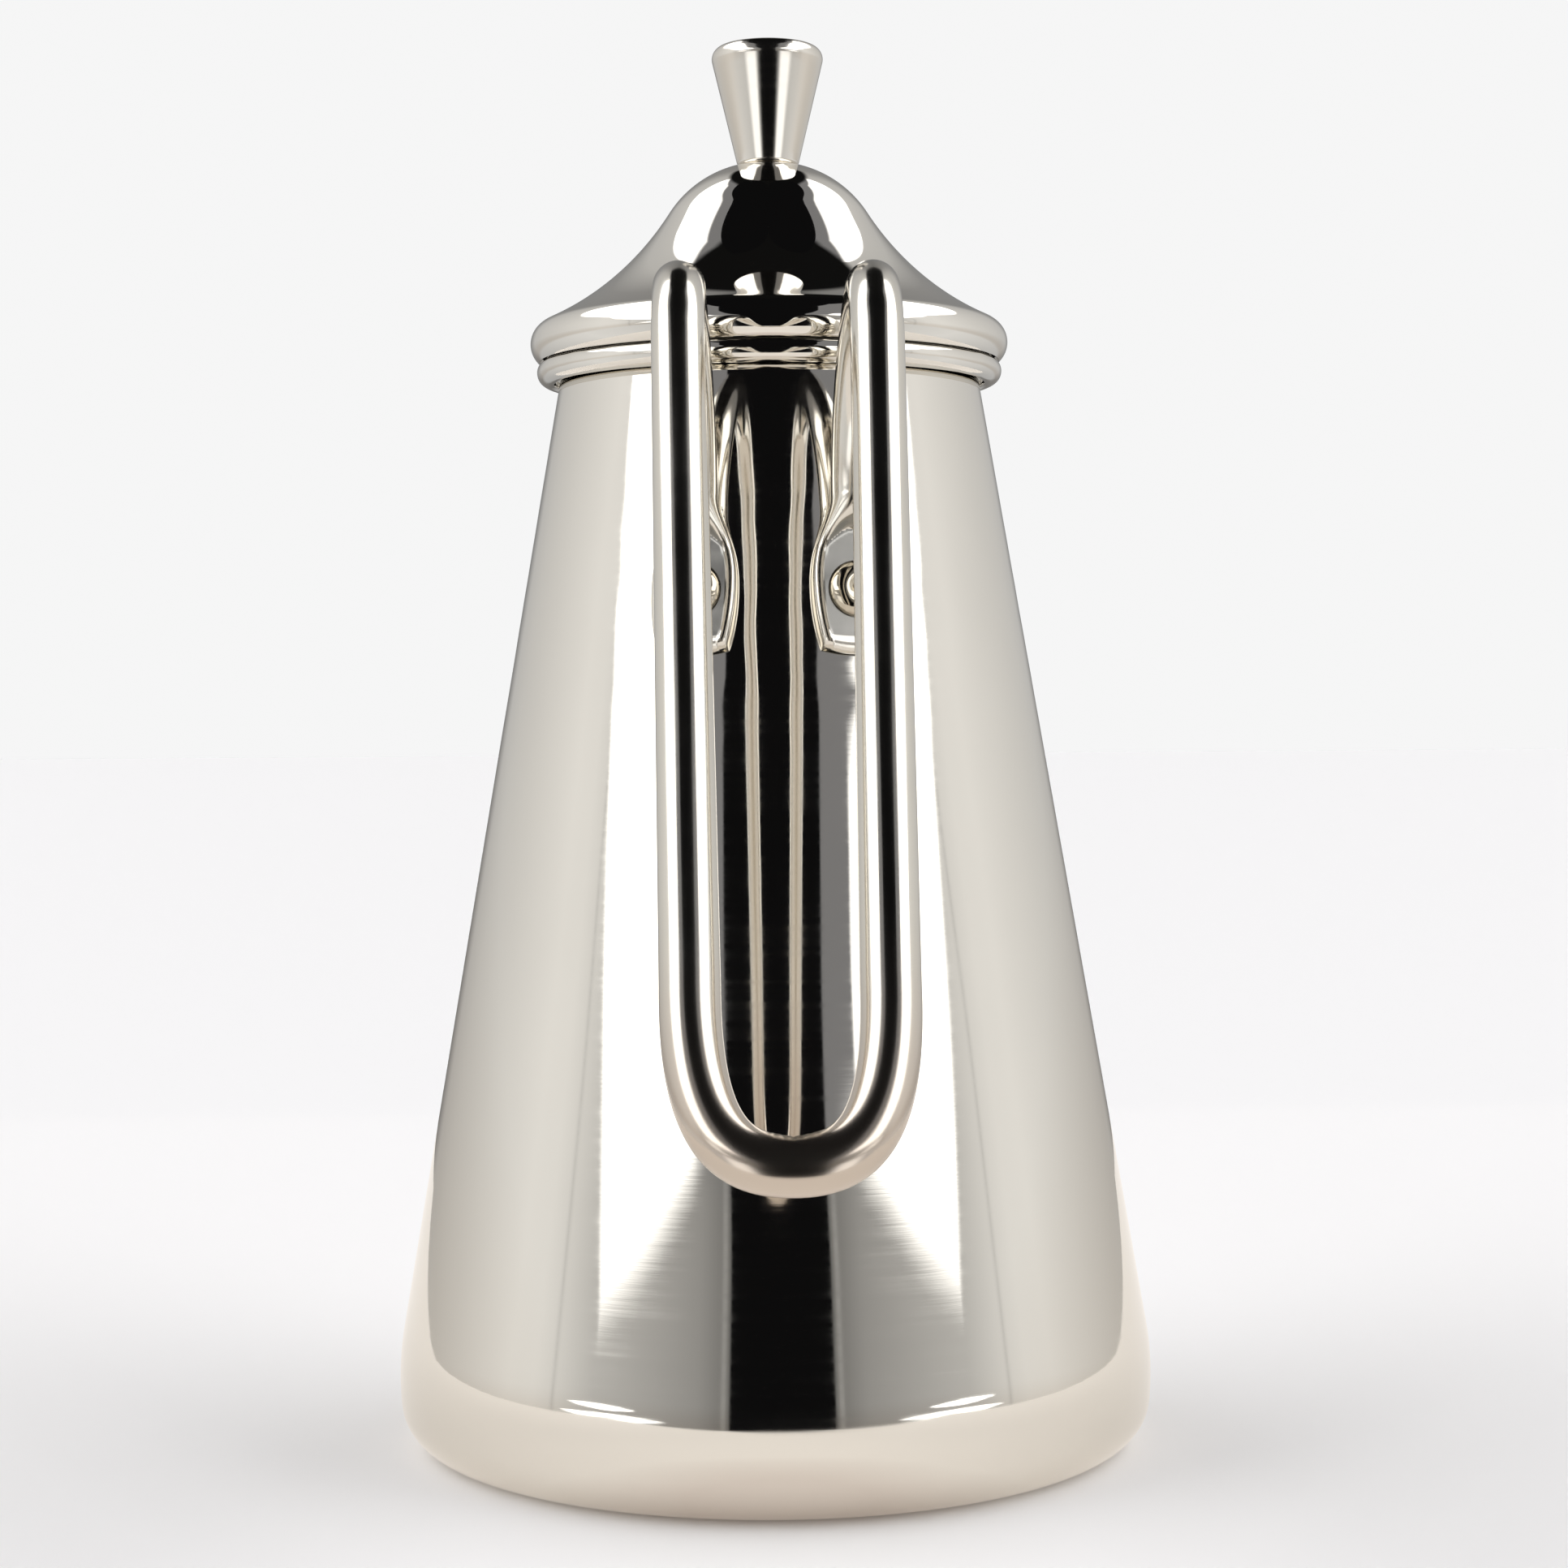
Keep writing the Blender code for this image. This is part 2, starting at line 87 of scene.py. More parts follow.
# Lid
LID_WALL = 0.9 * MM
LID_SEAT_Z = 194.25 * MM
CROWN_R = 17.0 * MM
CROWN_OFFSET = 0.92 * MM
FLARE_R = 45.5 * MM
ROLL_R = 3.62 * MM
FLARE_TOP = radians(32.8)
FLARE_END = radians(65.1)
ROLL_END = radians(-50.0)

# Collar inside the lid
COLLAR_OUT_R = 30.2 * MM
COLLAR_WALL = 0.8 * MM
COLLAR_FLANGE_R = 34.0 * MM
COLLAR_BOTTOM_Z = 156.5 * MM

# Knob
KNOB_BASE_R = 4.79 * MM
KNOB_TAPER = radians(13.2)
KNOB_SIDE_H = 15.5 * MM
KNOB_EDGE_R = 1.9 * MM
KNOB_FOOT_R = 0.8 * MM
KNOB_DOME = radians(78.8)
SCREW_HOLE_R = 2.2 * MM
SCREW_LENGTH = 9.0 * MM

# Handle
TUBE_R = 3.5 * MM
LEG_LEAN = radians(33.0)
LEG_TOP_X = 12.8 * MM
LEG_LOW_X = 11.25 * MM
BOW_APEX = (-60.0 * MM, 167.6 * MM)
BOW_R = 17.7 * MM
LEG_LENGTH = 116.7 * MM
U_HEIGHT = 22.7 * MM
U_CUT = 0.7 * MM
TAB_TURN = radians(17.0)
TAB_Z = 128.0 * MM
TAB_BELOW = 8.2 * MM
TAB_THICK = 2.3 * MM
TAB_LIP = 1.5 * MM
TAB_HALF_W = 6.15 * MM
ROD_START = 13.2 * MM
POCKET_DEPTH = 0.8 * MM
POCKET_RIM = 1.3 * MM

# Dents that riveting leaves in the wall: height from the rivet, depth, half width and height
DENTS = ((0.0, 0.16 * MM, 8 * MM, 10 * MM), (-12.4 * MM, 0.04 * MM, 3.2 * MM, 2.2 * MM))
DENT_REACH = 6 * MM
DENT_LOW_Z = 95 * MM
DENT_TOP_Z = 156 * MM
WALL_WAVE_EDGES = (100 * MM, 122 * MM, 142 * MM, DENT_TOP_Z)
WALL_WAVE = 0.06 * MM
WALL_WAVE_SIZE = 8.5 * MM

# Rivets
RIVET_R = 2.0 * MM
RIVET_HEAD_R = 4.1 * MM
RIVET_HEAD_H = 1.9 * MM
RIVET_TAIL_R = 3.2 * MM
RIVET_TAIL_H = 1.2 * MM
WASHER_H = 0.8 * MM

# Spout and strainer
SPOUT_LOW_Z = 112.0 * MM
SPOUT_TOP_Z = 158.5 * MM
SPOUT_LIP_RISE = 4.0 * MM
SPOUT_HALF_W = 15.0 * MM
SPOUT_REACH = 29.0 * MM
SPOUT_WALL = 1.0 * MM
SPOUT_FOOT = 2.2 * MM
HOLE_R = 2.0 * MM
HOLE_ROWS = 4
HOLE_PITCH = 6.0 * MM
HOLE_LOW_Z = 128.0 * MM

# Mesh
ROUND = 288
SHARP_ANGLE = radians(42)

# Fixings
WASHER_R = 4.4 * MM
SCREW_R = 1.9 * MM
SCREW_HEAD_R = 3.5 * MM
SCREW_HEAD_H = 1.8 * MM
THREAD_PITCH = 0.7 * MM
BACKING_R = 4.0 * MM

# Studio. Each curve gives a level, or a height in degrees, by compass angle from the handle's
# side; only GAP_HALF goes the other way, the dark gap's half width by height.
PANEL_LIGHT = 2.5
# The walls under the panels, then the panels' own lower and upper edges
WALL_LEVELS = ((0, 0.22), (16.2, 0.22), (17.2, 0.4), (18.4, 0.25), (25, 0.35), (35, 0.42),
               (46, 0.5), (57, 0.58), (68, 0.78), (70, 0.81), (71, 0.68), (72, 0.84),
               (78, 0.92), (88, 0.94), (98, 0.88), (118, 0.77), (140, 0.66), (155, 0.56),
               (166, 0.3), (180, 0.2))
PANEL_LOW = ((0, 16), (27, 10.6), (29, 10.2), (36, 9.1), (44, 7.8), (50, 6.9), (57, 5.9),
             (65, 11), (75, 17.5), (80, 20), (87, 27), (100, 31), (120, 34), (130, 37),
             (140, 42), (150, 55), (155, 90), (180, 90))
PANEL_HIGH = ((0, 10), (27, 11), (29, 14), (32, 17.5), (40, 20), (44, 26), (46, 30), (50, 38),
              (60, 50), (75, 58), (90, 60), (110, 61), (130, 62), (150, 56), (180, 52))
# Where the black ceiling begins
TOP_DARK = ((0, 73), (75, 75), (120, 72), (135, 66), (147, 58), (158, 50), (165, 45), (180, 44))
GAP_HALF = ((0, 15.5), (10, 15.5), (13, 17), (20, 21), (30, 25), (40, 27), (50, 30), (60, 44),
            (66, 75), (70, 150), (90, 180))
# The room below table height
LOW_LEVELS = ((0, 0.005), (18, 0.008), (23, 0.35), (28, 1.5), (44, 1.5), (52, 0.7), (75, 0.8),
              (100, 0.88), (130, 0.72), (160, 0.52), (180, 0.42))
# Two slim lamps seen in the heel: (compass angle, height), (half width, half height)
GLINTS = (((54.5, 0.4), (11, 0.9)), ((51, -2.7), (17, 1.1)))
STUDIO_TURN = radians(1.1)
ASKEW = radians(-2.2)
WALL_TINT = (1.0, 0.992, 0.98)
LOW_WALL_TINT = (0.86, 0.83, 0.8)
OVER_PANELS = (0.235, 0.235, 0.245, 1)
TOP_BLACK = (0.006, 0.006, 0.006, 1)
GAP_BLACK = (0.0048, 0.0048, 0.0052, 1)
FLOOR = ((-6, -6), (6, 6))
FLOOR_Z = -0.2 * MM
# Floor's near and far colours: a faint painted shadow round SHADE_CENTRE, then its even colour
FLOOR_SHADED_THEN_LIT = ("F5F4F4", "F9F8F9")
TABLE = ((-0.24, -0.223), (0.24, 0.36))
TABLE_Z = -0.1 * MM
# Table's near and far colours: a painted shadow round SHADE_CENTRE, then its lit colour
TABLE_SHADED_THEN_LIT = ("CAC1BB", "DBD6D1")
# Centre and fading radii of the painted shadow on floor and table, in front of the pot
SHADE_CENTRE = (0.0, -0.06, 0.0)
SHADE_FROM, SHADE_TO = 0.015, 0.04
TABLE_GLOW = 0.38
OVERHEAD_STRENGTH = 0.45
OVERHEAD_ANGLE = radians(150)
BACKDROP = (0.92, 0.92, 0.92, 1)

# Camera
LENS = 68.94
SENSOR = 36
CAMERA_PLACE = (-0.0070, -0.4614, 0.1125)
CAMERA_HEADING = radians(1.1)
CAMERA_TILT = 0.02742
CAMERA_ROLL = -0.006387


# ---------------------------------------------------------------- nodes and colours

def linear(hex_colour, alpha=1.0):
    """An sRGB hex colour as the linear RGBA that shaders take."""
    channels = []
    for i in (0, 2, 4):
        value = int(hex_colour[i:i + 2], 16) / 255
        channels.append(value / 12.92 if value <= 0.04045 else ((value + 0.055) / 1.055) ** 2.4)
    return (*channels, alpha)


def add(tree, kind, inputs=None, points=(), **settings):
    """Add one node. inputs maps a socket's name or number to a value or to an output socket.

    points are the (x, y) points of a float curve, joined by straight lines.
    """
    made = tree.nodes.new(kind)
    for name, value in settings.items():
        setattr(made, name, value)
    for key, value in (inputs or {}).items():
        if isinstance(value, bpy.types.NodeSocket):
            tree.links.new(value, made.inputs[key])
        else:
            made.inputs[key].default_value = value
    if points:
        curve = made.mapping.curves[0]
        for _ in points[2:]:
            curve.points.new(0.5, 0.5)
        for spot, place in zip(curve.points, points):
            spot.location = place
            spot.handle_type = "VECTOR"
        made.mapping.update()
    return made


def new_material(name):
    material = bpy.data.materials.new(name)
    material.use_nodes = True
    tree = material.node_tree
    return material, tree, tree.nodes["Principled BSDF"]


def steel(name, colour, roughness, rough_swing, line_pitch, line_height, wave_size,
          wave_height, line_axis="Z", turn=0.0, mottling=0.04, grain=(0.35 * MM, 0.0),
          dulled=None):
    """Stainless steel polished along parallel lines.

    Lines run across line_axis every line_pitch metres and are line_height high. The sheet
    also waves by wave_height over wave_size, and its polish comes and goes by rough_swing.
    turn tips the lines' frame about X, for a part that leans. grain is (size, height) of an
    even tooth left by tumbling. dulled is (z, lower z, roughness there, colour there): from z
    down to lower z the steel turns rougher and darker in colour.
    """
    material, tree, shader = new_material(name)
    shader.inputs["Metallic"].default_value = 1.0

    place = add(tree, "ShaderNodeTexCoord").outputs["Object"]
    aligned = add(tree, "ShaderNodeMapping", {"Vector": place, "Rotation": (turn, 0, 0)})
    across = {"X": (1, 0.03, 0.03), "Y": (0.03, 1, 0.03), "Z": (0.03, 0.03, 1)}[line_axis]
    stretched = add(tree, "ShaderNodeVectorMath", {0: aligned.outputs[0], 1: across},
                    operation="MULTIPLY")

    lines = add(tree, "ShaderNodeTexNoise", {
        "Vector": stretched.outputs[0], "Scale": 1 / line_pitch, "Detail": 3.0, "Roughness": 0.6})
    waves = add(tree, "ShaderNodeTexNoise", {
        "Vector": place, "Scale": 1 / wave_size, "Detail": 1.5, "Roughness": 0.45})
    smears = add(tree, "ShaderNodeTexNoise", {
        "Vector": stretched.outputs[0], "Scale": 1 / (line_pitch * 2.5), "Detail": 4.0})
    patches = add(tree, "ShaderNodeTexNoise", {
        "Vector": place, "Scale": 1 / (18 * MM), "Detail": 5.0, "Roughness": 0.62})

    height = add(tree, "ShaderNodeMath", {0: lines.outputs[0], 1: line_height},
                 operation="MULTIPLY")
    height = add(tree, "ShaderNodeMath", {
        0: waves.outputs[0], 1: wave_height, 2: height.outputs[0]}, operation="MULTIPLY_ADD")
    if grain[1] > 0:
        tooth = add(tree, "ShaderNodeTexNoise", {
            "Vector": place, "Scale": 1 / grain[0], "Detail": 2.0, "Roughness": 0.7})
        height = add(tree, "ShaderNodeMath", {
            0: tooth.outputs[0], 1: grain[1], 2: height.outputs[0]}, operation="MULTIPLY_ADD")
    bump = add(tree, "ShaderNodeBump", {
        "Height": height.outputs[0], "Strength": 1.0, "Distance": 1.0})
    tree.links.new(bump.outputs[0], shader.inputs["Normal"])

    polish = add(tree, "ShaderNodeMath", {0: smears.outputs[0], 1: patches.outputs[0]},
                 operation="MULTIPLY")
    rough = add(tree, "ShaderNodeMapRange", {
        "Value": polish.outputs[0], "From Min": 0.12, "From Max": 0.42,
        "To Min": roughness - rough_swing, "To Max": roughness + rough_swing})
    if dulled:
        level = add(tree, "ShaderNodeSeparateXYZ", {0: place})
        bent = add(tree, "ShaderNodeMapRange", {
            "Value": level.outputs[2], "From Min": dulled[0], "From Max": dulled[1]},
            interpolation_type="SMOOTHSTEP").outputs[0]
        rough = add(tree, "ShaderNodeMapRange", {
            "Value": bent, "To Min": rough.outputs[0], "To Max": dulled[2]})
    tree.links.new(rough.outputs[0], shader.inputs["Roughness"])

    tone = linear(colour)
    deep = (*(channel * (1 - mottling) for channel in tone[:3]), 1.0)
    shade = add(tree, "ShaderNodeMix", {0: patches.outputs[0], 6: deep, 7: tone},
                data_type="RGBA")
    # Darker colour towards the bottom, from dulled's z down to its lower z
    if dulled:
        shade = add(tree, "ShaderNodeMix", {0: bent, 6: shade.outputs[2], 7: linear(dulled[3])},
                    data_type="RGBA")
    tree.links.new(shade.outputs[2], shader.inputs["Base Color"])
    return material


# ---------------------------------------------------------------- mesh helpers

def smoothstep(low, high, value):
    share = max(0.0, min(1.0, (value - low) / (high - low)))
    return share * share * (3 - 2 * share)


def arc(centre, radius, start, end, steps):
    """Points from angle start to end, both included, round centre in the (r, z) plane."""
    points = []
    for i in range(steps + 1):
        angle = start + (end - start) * i / steps
        points.append((centre[0] + radius * cos(angle), centre[1] + radius * sin(angle)))
    return points


def strip(bm, low, high, closed=True, material_index=0):
    """Faces between two rows of vertices. A row of one vertex is a pole."""
    count = max(len(low), len(high))
    for k in range(count if closed else count - 1):
        n = (k + 1) % count
        if len(low) == 1:
            corners = (low[0], high[n], high[k])
        elif len(high) == 1:
            corners = (low[k], low[n], high[0])
        else:
            corners = (low[k], low[n], high[n], high[k])
        bm.faces.new(corners).material_index = material_index


def turned(profile, closed=False, steps=ROUND, inner_from=None):
    """Spin an (r, z) outline about Z. From point inner_from on it takes the second material."""
    bm = bmesh.new()
    rings = []
    for r, z in profile:
        if r < 1e-9:
            rings.append([bm.verts.new((0, 0, z))])
            continue
        rings.append([bm.verts.new((r * cos(2 * pi * k / steps), r * sin(2 * pi * k / steps), z))
                      for k in range(steps)])
    following = rings[1:] + ([rings[0]] if closed else [])
    for i, (low, high) in enumerate(zip(rings, following)):
        strip(bm, low, high, material_index=int(inner_from is not None and i >= inner_from))
    return bm


def mesh_object(name, bm, materials, sharp=SHARP_ANGLE):
    bmesh.ops.recalc_face_normals(bm, faces=bm.faces)
    mesh = bpy.data.meshes.new(name)
    bm.to_mesh(mesh)
    bm.free()
    mesh.shade_smooth()
    mesh.set_sharp_from_angle(angle=sharp)
    for material in materials:
        mesh.materials.append(material)
    piece = bpy.data.objects.new(name, mesh)
    bpy.context.collection.objects.link(piece)
    return piece


def install(piece, body, slot, *nodes):
    """Ride on a CAD body and stand for the CAD nodes, which are hidden. slot is not used."""
    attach(piece, body)
    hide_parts(*nodes)


def subtract(piece, tool_mesh):
    """Cut a closed mesh out of a piece for good."""
    tool = mesh_object("cutting_tool", tool_mesh, [])
    cut = piece.modifiers.new("cut", "BOOLEAN")
    cut.operation = "DIFFERENCE"
    cut.solver = "EXACT"
    cut.object = tool
    bpy.context.view_layer.update()
    done = bpy.data.meshes.new_from_object(
        piece.evaluated_get(bpy.context.evaluated_depsgraph_get()))
    piece.modifiers.remove(cut)
    piece.data = done
    bm = bmesh.new()
    bm.from_mesh(done)
    bmesh.ops.remove_doubles(bm, verts=bm.verts, dist=0.002 * MM)
    bmesh.ops.dissolve_degenerate(bm, edges=bm.edges, dist=0.001 * MM)
    bm.to_mesh(done)
    bm.free()
    done.set_sharp_from_angle(angle=SHARP_ANGLE)
    bpy.data.objects.remove(tool, do_unlink=True)


def drill(bm, place, radius, start, end):
    """Add a round bar along place's Z axis to a cutting tool."""
    middle = place @ Matrix.Translation((0, 0, (start + end) / 2))
    bmesh.ops.create_cone(bm, cap_ends=True, segments=40, radius1=radius, radius2=radius,
                          depth=end - start, matrix=middle)


# ---------------------------------------------------------------- body

def flank_centre():
    return (BODY_R - FLANK_R, HEEL_R - (FLANK_R - HEEL_R) * sin(HEEL_START))


def cone_radius(z):
    """Radius of the outer wall on the straight cone."""
    r, z0 = flank_centre()
    foot_r = r + FLANK_R * cos(CONE_ANGLE)
    foot_z = z0 + FLANK_R * sin(CONE_ANGLE)
    return foot_r - (z - foot_z) * tan(CONE_ANGLE)


def body_side(inset, top_z):
    """Heel, flank and cone as one run of points, moved inwards by inset."""
    flank = flank_centre()
    heel = (flank[0] + (FLANK_R - HEEL_R) * cos(HEEL_START), HEEL_R)
    points = arc(heel, HEEL_R - inset, radians(-90), HEEL_START, 18)
    points += arc(flank, FLANK_R - inset, HEEL_START, CONE_ANGLE, 10)[1:]
    foot_z = points[-1][1]
    levels = 72
    for i in range(1, levels + 1):
        z = foot_z + (top_z - foot_z) * i / levels
        points.append((cone_radius(z) - inset / cos(CONE_ANGLE), z))
    return points


def tab_axes(side):
    """Frame on the outer wall under a tab: X across, Y up the wall, Z straight out of it."""
    turn = side * TAB_TURN
    out = Vector((sin(turn) * cos(CONE_ANGLE), -cos(turn) * cos(CONE_ANGLE), sin(CONE_ANGLE)))
    across = Vector((cos(turn), sin(turn), 0.0))
    up = out.cross(across)
    r = cone_radius(TAB_Z)
    axes = Matrix((across, up, out)).transposed().to_4x4()
    axes.translation = Vector((r * sin(turn), -r * cos(turn), TAB_Z))
    return axes


def riveting_dents(bm):
    """Press the wall in under each tab and below it, as the riveting tool does."""
    frames = [tab_axes(side).inverted() for side in (-1, 1)]
    for vert in bm.verts:
        x, y, z = vert.co
        if y > 0 or not DENT_LOW_Z < z < DENT_TOP_Z:
            continue
        depth = 0.0
        for frame in frames:
            local = frame @ vert.co
            if abs(local.z) > DENT_REACH:
                continue
            for height, dent, half_w, half_h in DENTS:
                depth += dent * exp(-(local.x / half_w) ** 2 - ((local.y - height) / half_h) ** 2)
        near = smoothstep(*WALL_WAVE_EDGES[:2], z) * (1 - smoothstep(*WALL_WAVE_EDGES[2:], z))
        depth += WALL_WAVE * near * abs(noise.noise(Vector((x, 0.0, z)) / WALL_WAVE_SIZE))
        r = hypot(x, y)
        vert.co.x *= (r - depth) / r
        vert.co.y *= (r - depth) / r


def rim_ripples(bm):
    """The curled rim is not quite even: the curl puckers where the sheet was gathered."""
    for vert in bm.verts:
        x, y, z = vert.co
        r = hypot(x, y)
        if r < 33.2 * MM or z < 160 * MM:
            continue
        ripple = noise.noise(Vector((x, y, z * 0.4)) / RIM_RIPPLE_SIZE)
        vert.co.x *= 1 + RIM_RIPPLE_OUT * ripple / r
        vert.co.y *= 1 + RIM_RIPPLE_OUT * ripple / r
        vert.co.z += RIM_RIPPLE_UP * ripple


def body(polished, inside):
    lip_z = BEAD_Z - BEAD_R
    outer_bead = (BEAD_OUT_R - BEAD_R, BEAD_Z)
    inner_bead = (MOUTH_R + BEAD_R, BEAD_Z)
    profile = [(0.0, FOOT_RECESS), (20 * MM, FOOT_RECESS)]
    profile += [(FOOT_RECESS_R - 1.2 * MM, FOOT_RECESS), (FOOT_RECESS_R - 0.4 * MM, 0.3 * MM),
                (FOOT_RECESS_R + 0.3 * MM, 0.08 * MM), (FOOT_RECESS_R + 1.2 * MM, 0.0)]
    profile += body_side(0.0, NECK_Z)
    lip_r = outer_bead[0] - 0.55 * MM
    profile += [(cone_radius(NECK_Z) + 0.35 * MM, NECK_Z + 0.12 * MM),
                (lip_r - 0.25 * MM, NECK_Z - 0.1 * MM), (lip_r - 0.3 * MM, lip_z + 0.45 * MM),
                (lip_r - 0.12 * MM, lip_z + 0.12 * MM)]
    profile += arc(outer_bead, BEAD_R, radians(-99), radians(90), 26)
    profile += arc(inner_bead, BEAD_R, radians(90), radians(180), 12)
    inner_from = len(profile) - 4
    floor = body_side(BODY_WALL, lip_z - 1.0 * MM)
    profile += floor[::-1] + [(0.0, BODY_WALL)]
    bm = turned(profile, inner_from=inner_from)
    riveting_dents(bm)
    rim_ripples(bm)
    piece = mesh_object("polished_body", bm, [polished, inside])

    holes = bmesh.new()
    for side in (-1, 1):
        drill(holes, tab_axes(side), RIVET_R + 0.1 * MM, -6 * MM, 8 * MM)
    for row in range(HOLE_ROWS):
        z = HOLE_LOW_Z + row * HOLE_PITCH
        for i in range(row + 1):
            x = (i - row / 2) * HOLE_PITCH
            place = Matrix.Translation((x, cone_radius(z), z)) @ Matrix.Rotation(pi / 2, 4, "X")
            drill(holes, place, HOLE_R, -6 * MM, 6 * MM)
    subtract(piece, holes)
    install(piece, "pot", "body", "body_shell")


# ---------------------------------------------------------------- spout

def spout_row(share, inset, columns, lift=0.0, tip=0.0):
    """One level of the beak: share is 0 at its foot and 1 at its mouth.

    tip runs from 0 to 1 down the rounded end below the foot. The inside ends in a closed
    point above it.
    """
    half = SPOUT_FOOT + (SPOUT_HALF_W - SPOUT_FOOT) * share ** 0.8 - inset
    reach = SPOUT_FOOT + (SPOUT_REACH - SPOUT_FOOT) * share ** 1.35 - inset * 1.2
    if inset == SPOUT_WALL:
        reach *= smoothstep(0.0, 0.08, share)
    half *= sqrt(1 - tip * tip)
    reach *= sqrt(1 - tip * tip)
    lift -= 3.2 * MM * tip
    points = []
    for i in range(columns + 1):
        t = -1 + 2 * i / columns
        s = t * abs(t) ** 0.25
        nose = 1 - abs(s) ** 1.7
        base_z = SPOUT_LOW_Z + (SPOUT_TOP_Z - SPOUT_LOW_Z) * share
        x = half * s
        wall = sqrt((cone_radius(base_z) + 0.02 * MM) ** 2 - x * x)
        flare = 0.9 * MM * smoothstep(0.9, 1.0, share) * nose
        points.append(Vector((x, wall + reach * nose + flare,
                              base_z + SPOUT_LIP_RISE * share ** 3 * nose + lift)))
    return points


def spout(polished, inside):
    rows, columns = 56, 64
    bm = bmesh.new()
    grids = []
    for inset in (0.0, SPOUT_WALL):
        levels = [spout_row(row / rows, inset, columns) for row in range(rows + 1)]
        if inset == 0:
            levels = [spout_row(0.0, 0.0, columns, tip=0.97 - 0.14 * i) for i in range(7)] + levels
        grid = [[bm.verts.new(p) for p in level] for level in levels]
        grids.append(grid)
        for low, high in zip(grid, grid[1:]):
            strip(bm, low, high, closed=False, material_index=int(inset > 0))
    outer, inner = grids
    lip = [bm.verts.new(p) for p in spout_row(1.0, SPOUT_WALL / 2, columns, lift=0.3 * MM)]
    strip(bm, outer[-1], lip, closed=False)
    strip(bm, lip, inner[-1], closed=False)
    strip(bm, outer[0], inner[0], closed=False)
    for side in (0, -1):
        strip(bm, [row[side] for row in outer[-rows - 1:]], [row[side] for row in inner],
              closed=False)
        bm.faces.new([inner[0][side]] + [row[side] for row in outer[:-rows]])
        bm.faces.new((outer[-1][side], lip[side], inner[-1][side]))
    install(mesh_object("beak_spout", bm, [polished, inside]), "pot", "spout", "spout")


# ---------------------------------------------------------------- lid, collar, knob

def lid_skin(inset):
    """Crown, flare and rolled edge, from the crown's seat to the edge's end."""
    seat_angle = acos((KNOB_BASE_R - CROWN_OFFSET) / CROWN_R)
    crown = (CROWN_OFFSET, LID_SEAT_Z - CROWN_R * sin(seat_angle))
    joint = CROWN_R + FLARE_R
    flare = (crown[0] + joint * cos(FLARE_TOP), crown[1] + joint * sin(FLARE_TOP))
    joint = FLARE_R + ROLL_R
    roll = (flare[0] - joint * cos(FLARE_END), flare[1] - joint * sin(FLARE_END))
    points = arc(crown, CROWN_R - inset, seat_angle, FLARE_TOP, 26)
    points += arc(flare, FLARE_R + inset, pi + FLARE_TOP, pi + FLARE_END, 26)[1:]
    points += arc(roll, ROLL_R - inset, FLARE_END, ROLL_END, 26)[1:]
    return points


def lid(polished, inside):
    outer = [(SCREW_HOLE_R, LID_SEAT_Z)] + lid_skin(0.0)
    inner = [(SCREW_HOLE_R, LID_SEAT_Z - LID_WALL)] + lid_skin(LID_WALL)
    bm = turned(outer + inner[::-1], closed=True, inner_from=len(outer))
    install(mesh_object("bell_lid", bm, [polished, inside]), "lid", "lid", "lid_shell")


def collar(inside):
    """Flanged ring with a rolled foot and a soft bend under the flange."""
    flange_z = BEAD_Z + BEAD_R + GAP
    skirt_r = COLLAR_OUT_R - COLLAR_WALL
    foot = (skirt_r + COLLAR_WALL / 2, COLLAR_BOTTOM_Z + COLLAR_WALL / 2)
    bend = 1.6 * MM
    profile = [(COLLAR_FLANGE_R, flange_z + 0.2 * MM), (COLLAR_FLANGE_R - 0.15 * MM, flange_z)]
    profile += arc((COLLAR_OUT_R + 0.5 * MM, flange_z - 0.5 * MM), 0.5 * MM,
                   radians(90), radians(180), 5)
    profile += arc(foot, COLLAR_WALL / 2, 0.0, radians(-180), 10)
    profile += arc((skirt_r + bend, flange_z + COLLAR_WALL - bend), bend,
                   radians(180), radians(90), 8)
    profile += [(COLLAR_FLANGE_R - 0.15 * MM, flange_z + COLLAR_WALL),
                (COLLAR_FLANGE_R, flange_z + COLLAR_WALL - 0.2 * MM)]
    bm = turned(profile, closed=True, steps=192)
    install(mesh_object("locating_collar", bm, [inside]), "lid", "collar", "lid_collar")


def knob(metal):
    base = LID_SEAT_Z + 0.02 * MM
    wall = Vector((sin(KNOB_TAPER), cos(KNOB_TAPER)))
    outward = Vector((cos(KNOB_TAPER), -sin(KNOB_TAPER)))
    top = (Vector((KNOB_BASE_R, LID_SEAT_Z + GAP)) + wall * KNOB_SIDE_H / cos(KNOB_TAPER))
    edge = top - outward * KNOB_EDGE_R
    shoulder = arc(edge, KNOB_EDGE_R, -KNOB_TAPER, KNOB_DOME, 16)
    dome_r = shoulder[-1][0] / cos(KNOB_DOME)
    dome = (0.0, shoulder[-1][1] - dome_r * sin(KNOB_DOME))
    hole_top = base + SCREW_LENGTH
    profile = [(0.0, hole_top), (SCREW_HOLE_R, hole_top), (SCREW_HOLE_R, base)]
    profile += arc((KNOB_BASE_R - KNOB_FOOT_R, base + KNOB_FOOT_R), KNOB_FOOT_R,
                   radians(-90), -KNOB_TAPER, 8)
    for i in range(1, 12):
        low = Vector(profile[-1]).lerp(Vector(shoulder[0]), 1 / (13 - i))
        profile.append((low.x, low.y))
    profile += shoulder
    profile += arc(dome, dome_r, KNOB_DOME, radians(90), 10)[1:]
    bm = turned(profile, steps=144)
    install(mesh_object("turned_knob", bm, [metal]), "lid", "knob", "knob")


# ---------------------------------------------------------------- handle

def tab_half_width(height):
    """Half width of the pressed tab at a height above its rivet."""
    if height < 0:
        return TAB_HALF_W - 1.1 * MM * (height / TAB_BELOW) ** 2
    fade = min(1.0, height / ROD_START)
    return TUBE_R + (TAB_HALF_W - TUBE_R) * (0.5 + 0.5 * cos(pi * fade ** 1.3))


